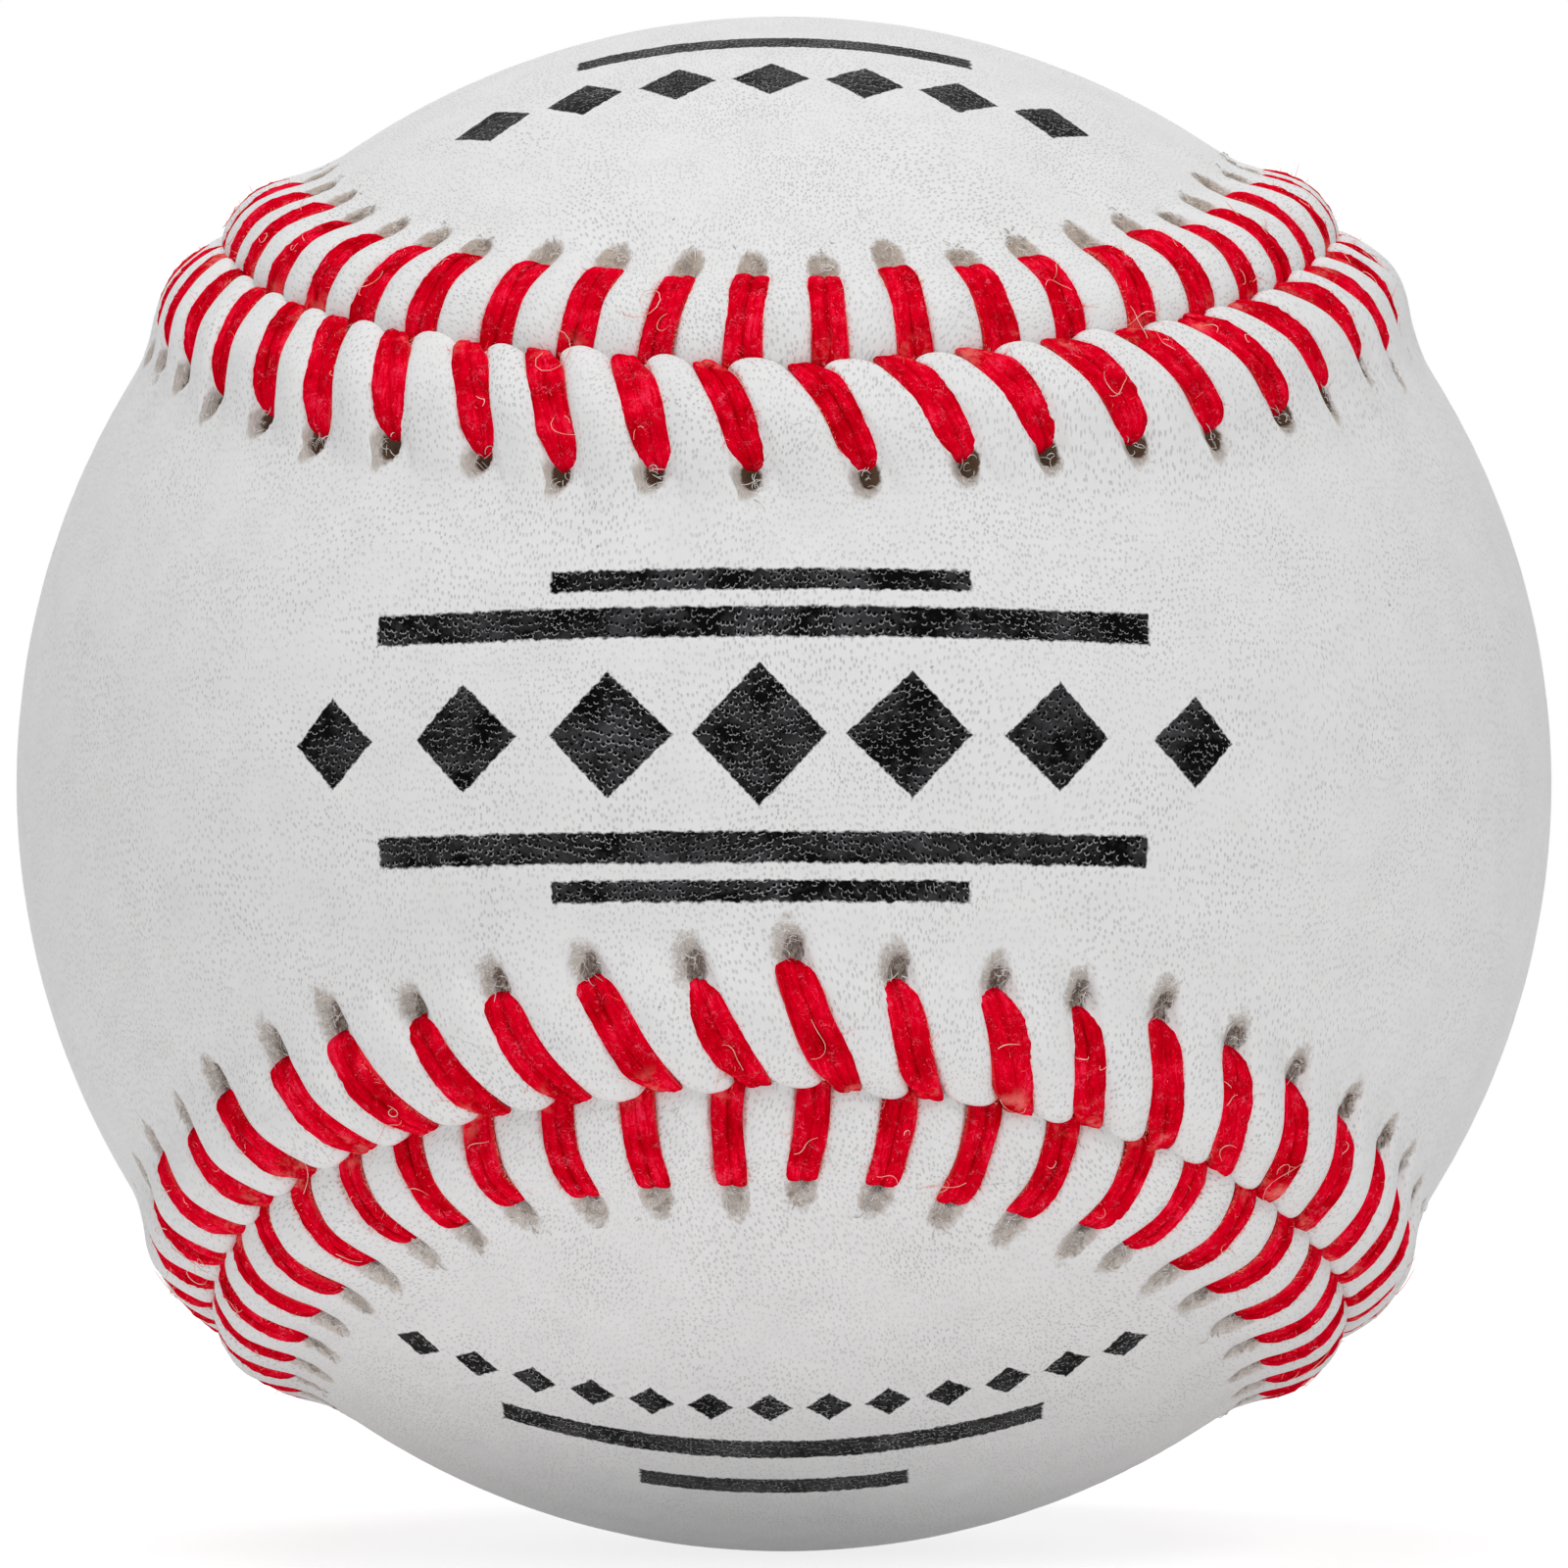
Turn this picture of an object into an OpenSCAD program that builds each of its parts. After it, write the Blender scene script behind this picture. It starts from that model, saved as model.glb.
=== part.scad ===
// Baseball: cushioned cork pill, three wool windings and a cotton finishing
// winding, a thin cement coat, two figure-eight leather panels, and two red
// threads laced through punched holes along the one long seam.
// The origin is the ball's centre. -Y looks at the waist of panel A, +Z is up.

/* [Ball] */
// Outside diameter of the cover, clear of the raised seam
ball_d = 73.4; // [72.8:0.1:74.4]
// Thickness of the leather
leather_t = 1.2; // [1.1:0.05:1.4]
// Thickness of the cement coat under the leather
coat_t = 0.1; // [0.05:0.05:0.2]

/* [Seam line] */
// First swing of the seam along its sweep, in degrees
sweep_4 = 23.6; // [22:0.1:25]
// Second swing of the seam along its sweep, in degrees
sweep_8 = 2.6; // [2:0.1:3]
// First swing of the seam's tilt, in degrees
tilt_2 = 64.7; // [63:0.1:66]
// Second swing of the seam's tilt, in degrees
tilt_6 = 1.5; // [1:0.1:2]

/* [Pucker] */
// Height of the pillows between the stitches over the cover
pillow_h = 1.4; // [1:0.1:1.6]
// Distance from the seam to the pillows' crest
pillow_n = 2.5; // [2.2:0.1:2.8]
// Height of the leather at the seam's valley
valley_h = 0.45; // [0.3:0.05:0.6]
// Half of the gap between the pillows of the two panels
seam_gap_half = 0.12; // [0.1:0.02:0.2]
// Depth of the leather's underside below the cover's surface at the seam
under_h = 0.4; // [0.35:0.05:0.5]
// Distance from the seam to where the leather lies flat on the ball
hem_n = 7.3; // [7:0.1:7.8]

/* [Stitches] */
// Number of double stitches round the seam
stitch_count = 108; // [100:2:112]
// Diameter of one strand of thread
strand_d = 0.7; // [0.6:0.02:0.74]
// Distance between the two strands' middles in one leg
strand_pitch = 0.6; // [0.54:0.02:0.64]
// Distance from the seam to the middle of a leg's inner end
knee_n = 0.42; // [0.4:0.02:0.5]
// Distance from the seam to the middle of a leg's outer end
hole_n = 5.15; // [4.9:0.05:5.3]
// Height of the thread's middle line over the cover at the top of a leg
arch_h = 1.15; // [1:0.05:1.3]
// Depth of a leg's two ends below the cover's surface
dive_h = 0.87; // [0.8:0.01:0.92]
// How far panel A's legs lean back along the seam
slant_a = 2; // [1.6:0.1:2.2]
// How far panel B's legs lean back along the seam
slant_b = 0.1; // [0:0.05:0.4]
// How far panel A's legs start ahead of panel B's
knee_lead = 1; // [0.8:0.05:1.2]
// How far the hand-sewn spacing runs ahead on one half of the ball
spacing_drift = 0.68; // [0:0.02:0.8]
// Place of the first stitch, from the middle of the upper seam
first_stitch = 1.57; // [1:0.01:2]
// Room between the thread and the leather on each side
thread_gap = 0.1; // [0.06:0.02:0.14]
// Room past the thread in a needle hole, away from the seam
hole_room = 0.6; // [0.4:0.05:0.8]

/* [Winding] */
// The first winding, of grey four-ply wool, fills what these three leave over the pill.
// Thickness of the second winding, of white three-ply wool
wool_2_t = 1.8; // [1.4:0.1:2]
// Thickness of the third winding, of grey three-ply wool
wool_3_t = 1.6; // [1.2:0.1:2]
// Thickness of the finishing winding, of white cotton
yarn_t = 0.49; // [0.4:0.01:0.8]

/* [Cushioned cork pill] */
// Diameter of the cork and rubber composition core
cork_d = 20.6; // [19:0.1:22]
// Thickness of the two black rubber shells
black_t = 3.97; // [3.6:0.01:4.3]
// Thickness of the red rubber layer
red_t = 2.4; // [2:0.05:2.8]
// Thickness of the red gasket between the two black shells
gasket_t = 1; // [0.6:0.1:1.6]
// Room between one round layer and the next
fit_gap = 0.04; // [0.02:0.01:0.06]

/* [Hidden] */
$fn = 96;

// Radii of the pill's layers, from the middle outwards
ball_r = ball_d / 2;
cork_r = cork_d / 2;
black_r = cork_r + black_t;
red_r = black_r + red_t;
// Radii of the cover, the coat and the windings, from the outside inwards
// The facets of the leather's inner face dip this share of the radius below its corners
dip_share = 0.0068;
hide_r = ball_r - leather_t;
coat_r = hide_r * (1 - dip_share);
yarn_r = coat_r - coat_t;
wool_3_r = yarn_r - yarn_t;
wool_2_r = wool_3_r - wool_3_t;
wool_1_r = wool_2_r - wool_2_t;

// The seam line. u runs once round the ball, from the middle of the upper seam.
// sweep turns about the Y axis and tilt leans the line towards -Y and +Y.
function sweep(u) = u + sweep_4 * sin(4 * u) + sweep_8 * sin(8 * u);
function tilt(u) = tilt_2 * cos(2 * u) + tilt_6 * cos(6 * u);
function seam(u) = [-cos(tilt(u)) * sin(sweep(u)), -sin(tilt(u)), cos(tilt(u)) * cos(sweep(u))];

// Length along the seam line, on a ball of radius 1, as a table of [length, u]
u_steps = 720;
u_step = 360 / u_steps;
seam_table = [for (k = 0, a = 0; k <= u_steps;
                   a = a + norm(seam((k + 1) * u_step) - seam(k * u_step)), k = k + 1) [a, k * u_step]];
seam_len = seam_table[u_steps][0] * ball_r;
pitch = seam_len / stitch_count;
function wrap(s) = s - seam_len * floor(s / seam_len);
function u_at(s) = lookup(wrap(s) / ball_r, seam_table);

// A point s along the seam, n across it (above 0 on panel A) and h over the cover
function unit(v) = v / norm(v);
function deg(n) = n / ball_r * 180 / PI;
function at(s, n, h) =
    let (u = u_at(s), x = seam(u), t = unit(seam(u + u_step) - seam(u - u_step)), m = cross(x, t))
    (ball_r + h) * (cos(deg(n)) * x + sin(deg(n)) * m);

// Where a leg starts at the seam, and how far it leans back. side is 1 on panel A, -1 on B.
function knee_s(side, i) =
    first_stitch + i * pitch - spacing_drift * cos(i * 360 / stitch_count) + (side > 0 ? knee_lead : 0);
function slant(side) = side > 0 ? slant_a : slant_b;
function lean(side, n) = -slant(side) * (n - knee_n) / (hole_n - knee_n);

// The arch of one leg: [centre, outward, up, sideways, radius, half of its angle].
// Thread and leather are both drawn about this centre, so the thread beds in its groove.
function arch(side, i) =
    let (s = knee_s(side, i),
         a = at(s, side * knee_n, -dive_h),
         b = at(s - slant(side), side * hole_n, -dive_h),
         m = (a + b) / 2, c = norm(b - a), x = (b - a) / c,
         y = unit(unit(m) - (unit(m) * x) * x),
         sag = ball_r + arch_h - norm(m),
         r = (c * c / 4 + sag * sag) / (2 * sag))
    [m + (sag - r) * y, x, y, cross(x, y) * side, r, acos((r - sag) / r)];

leg_w = strand_pitch + strand_d;
groove_w = leg_w + 2 * thread_gap;
// The leather strap under a leg: its angle each side of the arch's top
strap_angle = 53;
strap_shoulder = 30;
function strap(f, phi, w) =
    f[0] + (f[4] - strand_d / 2 - thread_gap) * (sin(phi) * f[1] + cos(phi) * f[2]) + w * f[3];

// A pillow's profile from the seam outwards: distance shares of hole_far, height shares of pillow_h
hole_far = hole_n + strand_d / 2 + hole_room;
shoulder_n_share = 0.45;
shoulder_h_share = 0.86;
flank_n_share = 0.84;
flank_h_share = 0.62;
tail_h_share = 0.2;
hem_under_share = 0.66;

// Corners of one panel
ribs = 10; // cells across the panel inside the hem
function pillow(side, i, n, h) =
    at((knee_s(side, i) + knee_s(side, i + 1)) / 2 + lean(side, n), side * n, h);
function across(side, row, i) =
    let (f = arch(side, i), g = groove_w / 2)
    row == 0 ? [strap(f, -strap_angle, -g), strap(f, -strap_angle, g),
                pillow(side, i, seam_gap_half, valley_h)]
  : row == 1 ? [strap(f, -strap_shoulder, -g), strap(f, -strap_shoulder, g),
                pillow(side, i, pillow_n * shoulder_n_share, pillow_h * shoulder_h_share)]
  : row == 2 ? [strap(f, 0, -g), strap(f, 0, g), pillow(side, i, pillow_n, pillow_h)]
  : row == 3 ? [strap(f, strap_angle, -g), strap(f, strap_angle, g),
                pillow(side, i, hole_n * flank_n_share, pillow_h * flank_h_share)]
  : let (s = knee_s(side, i) + lean(side, hole_far), p = at(s, side * hole_far, pillow_h * tail_h_share))
    [p - g * f[3], p + g * f[3], pillow(side, i, hole_far, pillow_h * tail_h_share)];

function flat(v) = [for (a = v) for (b = a) b];
function to_r(p, r) = r * unit(p);

// Rungs join the hem's two sides across the panel. i + j is the same for every rung.
// The panel's middle line is the circle Z = 0 on A and X = 0 on B.
rung_span = 136; // degrees each way along the middle line
function rung_sum(side) =
    let (back = 2 * (first_stitch + lean(side, hem_n) + (side > 0 ? knee_lead : 0)) / pitch)
    round((side > 0 ? stitch_count / 2 : 0) - back);
function end_gap(side) = 4 - abs(rung_sum(side) % 2);
function rung_count(side) = stitch_count / 2 - end_gap(side) + 1;
function rung_i(side, r) = (rung_sum(side) + end_gap(side)) / 2 + r;
function rung_j(side, r) = (rung_sum(side) - end_gap(side)) / 2 - r;
function middle(side, r) =
    let (a = rung_span * (1 - 2 * r / (rung_count(side) - 1)))
    side > 0 ? [-sin(a), -cos(a), 0] : [0, cos(a), sin(a)];
function hem(side, i) = unit(at(knee_s(side, i) + lean(side, hem_n), side * hem_n, 0));
function rung(side, r) =
    let (a = hem(side, rung_i(side, r)), b = hem(side, rung_j(side, r)),
         q = 2 * middle(side, r) - (a + b) / 2)
    [for (k = [1 : ribs - 1]) let (t = k / ribs) unit((1 - t) * (1 - t) * a + 2 * t * (1 - t) * q + t * t * b)];

// One panel as a closed skin: five fine rows outside, three under them, the hem and the rungs
module panel(side) {
    nc = stitch_count;
    rows = [for (row = [0 : 4]) flat([for (i = [0 : nc - 1]) across(side, row, i)])];
    hems = [for (i = [0 : nc - 1]) hem(side, i)];
    under_0 = [for (p = rows[0]) to_r(p, ball_r - under_h)];
    under_3 = [for (i = [0 : nc - 1]) for (j = [0, 1]) to_r(rows[3][3 * i + j], ball_r - under_h)];
    under_4 = [for (i = [0 : nc - 1]) for (j = [0, 1])
                  to_r(rows[4][3 * i + j], ball_r - under_h - (leather_t - under_h) * hem_under_share)];
    inside = flat([for (r = [0 : rung_count(side) - 1]) rung(side, r)]);
    points = concat(flat(rows), ball_r * hems, under_0, under_3, under_4, hide_r * hems,
                    ball_r * inside, hide_r * inside);

    // Where each row of corners starts in that list
    o5 = 15 * nc;
    u0 = 16 * nc;
    u1 = 19 * nc;
    u2 = 21 * nc;
    u3 = 23 * nc;
    in_o = 24 * nc;
    in_u = in_o + len(inside);
    function fine(row, c) = 3 * nc * row + (c + 3 * nc) % (3 * nc);
    function duo(base, c) = base + (c + 2 * nc) % (2 * nc);
    function one(base, i) = base + (i + 4 * nc) % nc;
    function quad(a, b, c, d) = [[a, b, c], [a, c, d]];
    rc = rung_count(side);
    eg = end_gap(side);
    // Corner k of rung r, on the outer (top) or inner skin
    function cell(top, r, k) =
        k == 0 ? one(top ? o5 : u3, rung_i(side, r))
      : k == ribs ? one(top ? o5 : u3, rung_j(side, r))
      : (top ? in_o : in_u) + r * (ribs - 1) + k - 1;
    function step(k) = min(eg - 1, 1 + floor(k * (eg - 1) / ribs));
    function inner_net(top) = concat(
        flat([for (r = [0 : rc - 2]) for (k = [0 : ribs - 1])
            quad(cell(top, r, k), cell(top, r + 1, k), cell(top, r + 1, k + 1), cell(top, r, k + 1))]),
        flat([for (k = [0 : ribs - 1])
            let (a = function (m) one(top ? o5 : u3, rung_i(side, 0) - m),
                 b = function (m) one(top ? o5 : u3, rung_i(side, rc - 1) + m))
            concat([[a(step(k)), cell(top, 0, k), cell(top, 0, k + 1)],
                    [cell(top, rc - 1, k), b(step(k)), cell(top, rc - 1, k + 1)]],
                   k > 0 && step(k) != step(k - 1)
                       ? [[a(step(k - 1)), cell(top, 0, k), a(step(k))],
                          [cell(top, rc - 1, k), b(step(k - 1)), b(step(k))]] : [])]));
    outer_net = concat(
        flat([for (row = [0 : 3]) for (c = [0 : 3 * nc - 1]) if (row < 3 || c % 3 != 0)
            quad(fine(row, c), fine(row, c + 1), fine(row + 1, c + 1), fine(row + 1, c))]),
        flat([for (i = [0 : nc - 1])
            let (a = fine(4, 3 * i), b = fine(4, 3 * i + 1), c = fine(4, 3 * i + 2), d = fine(4, 3 * i + 3),
                 e = one(o5, i), f = one(o5, i + 1))
            [[a, b, e], [b, c, e], [c, d, f], [c, f, e]]]));
    under_net = flat([for (i = [0 : nc - 1])
        let (a = u0 + 3 * i, b = a + 1, c = a + 2, d = u0 + (3 * i + 3) % (3 * nc),
             e = duo(u1, 2 * i), f = duo(u1, 2 * i + 1), g = duo(u1, 2 * i + 2),
             k = duo(u2, 2 * i), l = duo(u2, 2 * i + 1), m = duo(u2, 2 * i + 2),
             p = one(u3, i), q = one(u3, i + 1))
        concat(quad(a, b, f, e), [[b, c, f], [c, d, g], [c, g, f]], quad(f, g, m, l),
               [[k, l, p], [l, m, q], [l, q, p]])]);
    walls = flat([for (i = [0 : nc - 1])
        let (a = fine(3, 3 * i), b = fine(3, 3 * i + 1), c = fine(4, 3 * i + 1), d = fine(4, 3 * i),
             e = duo(u1, 2 * i), f = duo(u1, 2 * i + 1), g = duo(u2, 2 * i + 1), k = duo(u2, 2 * i))
        concat(quad(a, b, f, e), quad(b, c, g, f), quad(c, d, k, g), quad(d, a, e, k))]);
    edge = flat([for (c = [0 : 3 * nc - 1])
        let (d = (c + 1) % (3 * nc)) quad(d, c, u0 + c, u0 + d)]);
    out_faces = concat(outer_net, inner_net(true), walls, edge);
    in_faces = [for (f = concat(under_net, inner_net(false))) [f[0], f[2], f[1]]];
    faces = concat(out_faces, in_faces);
    polyhedron(points = points,
               faces = side > 0 ? [for (f = faces) [f[0], f[2], f[1]]] : faces, convexity = 8);
}

// The visible leg of a stitch: two strands side by side over the leather
module leg(side, i) {
    f = arch(side, i);
    multmatrix([[f[1].x, f[2].x, f[3].x * side, f[0].x],
                [f[1].y, f[2].y, f[3].y * side, f[0].y],
                [f[1].z, f[2].z, f[3].z * side, f[0].z],
                [0, 0, 0, 1]])
        rotate([0, 0, 90 - f[5]])
            rotate_extrude(angle = 2 * f[5])
                for (w = [-1, 1]) translate([f[4], w * strand_pitch / 2]) circle(d = strand_d, $fn = 24);
}

// One thread crosses the seam at every stitch: panel A's legs of one parity, B's of the other
module thread(first) {
    for (i = [0 : stitch_count - 1]) leg((i + first) % 2 == 0 ? 1 : -1, i);
}

module round_layer(outer_r, inner_r) {
    difference() {
        sphere(r = outer_r - fit_gap);
        sphere(r = inner_r);
    }
}

// Half of a round layer, cut by a plane; shift moves the plane along +Z
module half_layer(outer_r, inner_r, shift) {
    intersection() {
        round_layer(outer_r, inner_r);
        translate([-outer_r, -outer_r, shift]) cube([2 * outer_r, 2 * outer_r, outer_r]);
    }
}

module cork_centre() { color("#b98f63") sphere(r = cork_r - fit_gap); }
module black_rubber_shell_upper() { color("#232326") half_layer(black_r, cork_r, gasket_t / 2); }
module black_rubber_shell_lower() {
    color("#232326") rotate([180, 0, 0]) half_layer(black_r, cork_r, gasket_t / 2);
}
module red_rubber_gasket() {
    color("#b4342f") intersection() {
        round_layer(black_r, cork_r);
        translate([-black_r, -black_r, -gasket_t / 2]) cube([2 * black_r, 2 * black_r, gasket_t]);
    }
}
module red_rubber_shell_left() { color("#a8302c") rotate([0, -90, 0]) half_layer(red_r, black_r, 0); }
module red_rubber_shell_right() { color("#a8302c") rotate([0, 90, 0]) half_layer(red_r, black_r, 0); }
module grey_wool_winding_inner() { color("#8b8d93") round_layer(wool_1_r, red_r); }
module white_wool_winding() { color("#e9e5da") round_layer(wool_2_r, wool_1_r); }
module grey_wool_winding_outer() { color("#8b8d93") round_layer(wool_3_r, wool_2_r); }
module finishing_yarn_winding() { color("#f3f1ea") round_layer(yarn_r, wool_3_r); }
module barrier_coat() { color("#cbc5b6") round_layer(coat_r, yarn_r); }
module cover_panel_a() { color("#eceef0") panel(1); }
module cover_panel_b() { color("#e4e7ea") panel(-1); }
module stitch_thread_1() { color("#d8202c") thread(0); }
module stitch_thread_2() { color("#c41a27") thread(1); }

cork_centre();
black_rubber_shell_upper();
black_rubber_shell_lower();
red_rubber_gasket();
red_rubber_shell_left();
red_rubber_shell_right();
grey_wool_winding_inner();
white_wool_winding();
grey_wool_winding_outer();
finishing_yarn_winding();
barrier_coat();
cover_panel_a();
cover_panel_b();
stitch_thread_1();
stitch_thread_2();
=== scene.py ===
import math

import bpy
import numpy as np
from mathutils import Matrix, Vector


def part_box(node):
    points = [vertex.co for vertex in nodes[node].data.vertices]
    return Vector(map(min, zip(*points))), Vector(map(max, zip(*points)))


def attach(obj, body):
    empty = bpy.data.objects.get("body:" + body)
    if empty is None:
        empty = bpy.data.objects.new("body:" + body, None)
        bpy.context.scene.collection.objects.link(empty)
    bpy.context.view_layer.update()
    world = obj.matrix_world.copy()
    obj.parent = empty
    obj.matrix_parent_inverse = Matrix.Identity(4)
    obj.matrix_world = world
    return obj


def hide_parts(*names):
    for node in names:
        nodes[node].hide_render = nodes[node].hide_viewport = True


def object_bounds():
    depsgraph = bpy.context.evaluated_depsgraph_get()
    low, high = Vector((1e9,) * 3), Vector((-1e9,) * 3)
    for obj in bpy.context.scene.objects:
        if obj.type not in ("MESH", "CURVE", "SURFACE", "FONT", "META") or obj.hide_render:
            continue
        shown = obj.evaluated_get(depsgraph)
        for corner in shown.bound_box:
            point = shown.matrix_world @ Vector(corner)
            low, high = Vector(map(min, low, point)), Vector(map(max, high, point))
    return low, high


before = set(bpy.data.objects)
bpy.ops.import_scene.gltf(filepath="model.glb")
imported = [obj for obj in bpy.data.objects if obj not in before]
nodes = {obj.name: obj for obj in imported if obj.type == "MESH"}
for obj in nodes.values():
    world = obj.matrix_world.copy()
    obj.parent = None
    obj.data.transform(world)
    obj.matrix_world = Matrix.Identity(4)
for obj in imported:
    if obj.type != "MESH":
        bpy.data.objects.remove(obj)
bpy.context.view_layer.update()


# Cork centre

# The heart of the ball: a moulded bead of ground cork bound with a little
# rubber. The eye gets tan grains of two or three tones with dark flecks.
def linear(hex_colour):
    srgb = [int(hex_colour[i:i + 2], 16) / 255 for i in (1, 3, 5)]
    return [c / 12.92 if c <= 0.04045 else ((c + 0.055) / 1.055) ** 2.4 for c in srgb] + [1.0]


def output(source):
    """A node stands for its first output in use; anything else stands for itself."""
    if isinstance(source, bpy.types.Node):
        return next(socket for socket in source.outputs if socket.enabled)
    return source


def add(tree, kind, inputs=(), **settings):
    """Add a node with its settings. Its inputs are values, sockets or other nodes."""
    node = tree.nodes.new("ShaderNode" + kind)
    for name, value in settings.items():
        setattr(node, name, value)
    by_socket = inputs if isinstance(inputs, dict) else dict(enumerate(inputs))
    for socket, value in by_socket.items():
        value = output(value)
        if isinstance(value, bpy.types.NodeSocket):
            tree.links.new(value, node.inputs[socket])
        else:
            node.inputs[socket].default_value = value
    return node


def new_material(name, roughness, **sockets):
    material = bpy.data.materials.new(name)
    material.use_nodes = True
    tree = material.node_tree
    shader = tree.nodes["Principled BSDF"]
    shader.inputs["Roughness"].default_value = roughness
    for socket, value in sockets.items():
        shader.inputs[socket.replace("_", " ")].default_value = value
    # Object coordinates in millimetres, so that every pattern's scale is 1 over a real size
    place = add(tree, "TexCoord").outputs["Object"]
    mm = add(tree, "VectorMath", {0: place, "Scale": 1000.0}, operation="SCALE")
    return material, tree, shader, mm


def surface(tree, shader, colour, relief=0.0, relief_depth=0.0, strength=0.0):
    """Give a material its colour and its relief, which is relief_depth metres deep."""
    tree.links.new(output(colour), shader.inputs["Base Color"])
    if relief_depth:
        bump = add(tree, "Bump", {"Height": relief, "Distance": relief_depth, "Strength": strength})
        tree.links.new(output(bump), shader.inputs["Normal"])


def finish_node(node_name, material):
    obj = nodes[node_name]
    obj.data.materials.clear()
    obj.data.materials.append(material)


cork, tree, shader, mm = new_material("ground_cork_composition", 0.85)
grain_mm, fleck_mm = 1.8, 0.6
grains = add(tree, "TexVoronoi", {"Vector": mm, "Scale": 1 / grain_mm, "Randomness": 1.0})
flecks = add(tree, "TexNoise", {"Vector": mm, "Scale": 1 / fleck_mm, "Detail": 3.0})
tone = add(tree, "SeparateColor", {"Color": grains.outputs["Color"]})
tan = add(tree, "Mix", {"Factor": tone.outputs["Red"], "A": linear("#c49a6c"), "B": linear("#9a6f43")},
          data_type="RGBA")
dark = add(tree, "MapRange", (flecks, 0.6, 0.66))
tan = add(tree, "Mix", {"Factor": dark, "A": tan, "B": linear("#3b2a1d")}, data_type="RGBA")
surface(tree, shader, tan, grains.outputs["Distance"], 0.0003, 0.6)
finish_node("cork_centre", cork)


# Rubber layers of the pill

# Two black shells round the cork, the red gasket in their joint, and two red
# half shells over them. All are compression-moulded rubber, dull, with a
# slight bloom and a fine texture from the mould.
def moulded_rubber(name, hex_colour, bloom_hex):
    material, tree, shader, mm = new_material(name, 0.62)
    bloom_mm, texture_mm = 5.0, 0.25
    bloom = add(tree, "TexNoise", {"Vector": mm, "Scale": 1 / bloom_mm, "Detail": 4.0})
    colour = add(tree, "Mix", {"Factor": bloom, "A": linear(hex_colour), "B": linear(bloom_hex)},
                 data_type="RGBA")
    skin = add(tree, "TexNoise", {"Vector": mm, "Scale": 1 / texture_mm, "Detail": 2.0})
    surface(tree, shader, colour, skin, 0.00004, 0.7)
    return material


black_rubber = moulded_rubber("moulded_black_rubber", "#1b1b1d", "#2c2c2f")
red_rubber = moulded_rubber("moulded_red_rubber", "#a32a27", "#b84842")
for name in ("black_rubber_shell_upper", "black_rubber_shell_lower"):
    finish_node(name, black_rubber)
for name in ("red_rubber_gasket", "red_rubber_shell_left", "red_rubber_shell_right"):
    finish_node(name, red_rubber)


# Wound layers

# Grey four-ply wool, white three-ply wool, grey three-ply wool and a last
# winding of fine white cotton, each wound tight in every direction. The eye
# gets yarns lying side by side in patches that cross each other.
def wound_yarn(name, hex_light, hex_dark, yarn_mm):
    material, tree, shader, mm = new_material(name, 0.9)
    patch_mm = 9.0
    patches = add(tree, "TexVoronoi", {"Vector": mm, "Scale": 1 / patch_mm, "Randomness": 1.0})
    turn = add(tree, "VectorMath", {0: patches.outputs["Color"], "Scale": 6.283}, operation="SCALE")
    lay = add(tree, "VectorRotate", {"Vector": mm, "Rotation": turn}, rotation_type="EULER_XYZ")
    # A wave's bands repeat every 0.314 / scale
    yarn = add(tree, "TexWave",
               {"Vector": lay, "Scale": 0.314 / yarn_mm, "Distortion": 1.2, "Detail": 2.0,
                "Detail Scale": 1.5})
    colour = add(tree, "Mix",
                 {"Factor": yarn.outputs["Fac"], "A": linear(hex_dark), "B": linear(hex_light)},
                 data_type="RGBA")
    surface(tree, shader, colour, yarn.outputs["Fac"], 0.0004, 0.8)
    return material


grey_wool_4 = wound_yarn("wound_grey_wool_four_ply", "#9a9ca1", "#5d5f65", 1.6)
white_wool_3 = wound_yarn("wound_white_wool_three_ply", "#ece8dc", "#b5b0a2", 1.3)
grey_wool_3 = wound_yarn("wound_grey_wool_three_ply", "#a4a6ab", "#66686e", 1.3)
cotton = wound_yarn("wound_white_cotton", "#f4f2ea", "#c9c5b8", 0.5)
for name, yarn in (("grey_wool_winding_inner", grey_wool_4), ("white_wool_winding", white_wool_3),
                   ("grey_wool_winding_outer", grey_wool_3), ("finishing_yarn_winding", cotton)):
    finish_node(name, yarn)


# Cement coat

# A thin brushed coat of rubber cement over the winding, which keeps damp out
# and holds the leather down. The eye gets a tacky amber film with brush marks.
cement, tree, shader, mm = new_material("brushed_rubber_cement", 0.35, IOR=1.52)
brush_mm = 2.5
brush = add(tree, "TexNoise", {"Vector": mm, "Scale": 1 / brush_mm, "Detail": 5.0, "Distortion": 1.5})
film = add(tree, "Mix", {"Factor": brush, "A": linear("#cdb98c"), "B": linear("#e6d9b8")},
           data_type="RGBA")
surface(tree, shader, film, brush, 0.0001, 0.6)
finish_node("barrier_coat", cement)


# Seam line and stitch places

# The one long seam between the two panels, and the 108 double stitches laid
# out along it by hand: their spacing, lean and reach all wander a little.
ball_r = -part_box("cover_panel_a")[0].y * 1000
stitches = 108
u_table = np.linspace(0, 2 * math.pi, 7201)
# How far the seam swings up and down the ball and to and fro round it, by the swings in one turn
tilt_2, tilt_6 = math.radians(64.7), math.radians(1.5)
sweep_4, sweep_8 = math.radians(23.6), math.radians(2.6)


def seam_direction(u):
    sweep = u + sweep_4 * np.sin(4 * u) + sweep_8 * np.sin(8 * u)
    tilt = tilt_2 * np.cos(2 * u) + tilt_6 * np.cos(6 * u)
    return np.stack([-np.cos(tilt) * np.sin(sweep), -np.sin(tilt), np.cos(tilt) * np.cos(sweep)], -1)


def unit(v):
    return v / np.linalg.norm(v, axis=-1, keepdims=True)


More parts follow.
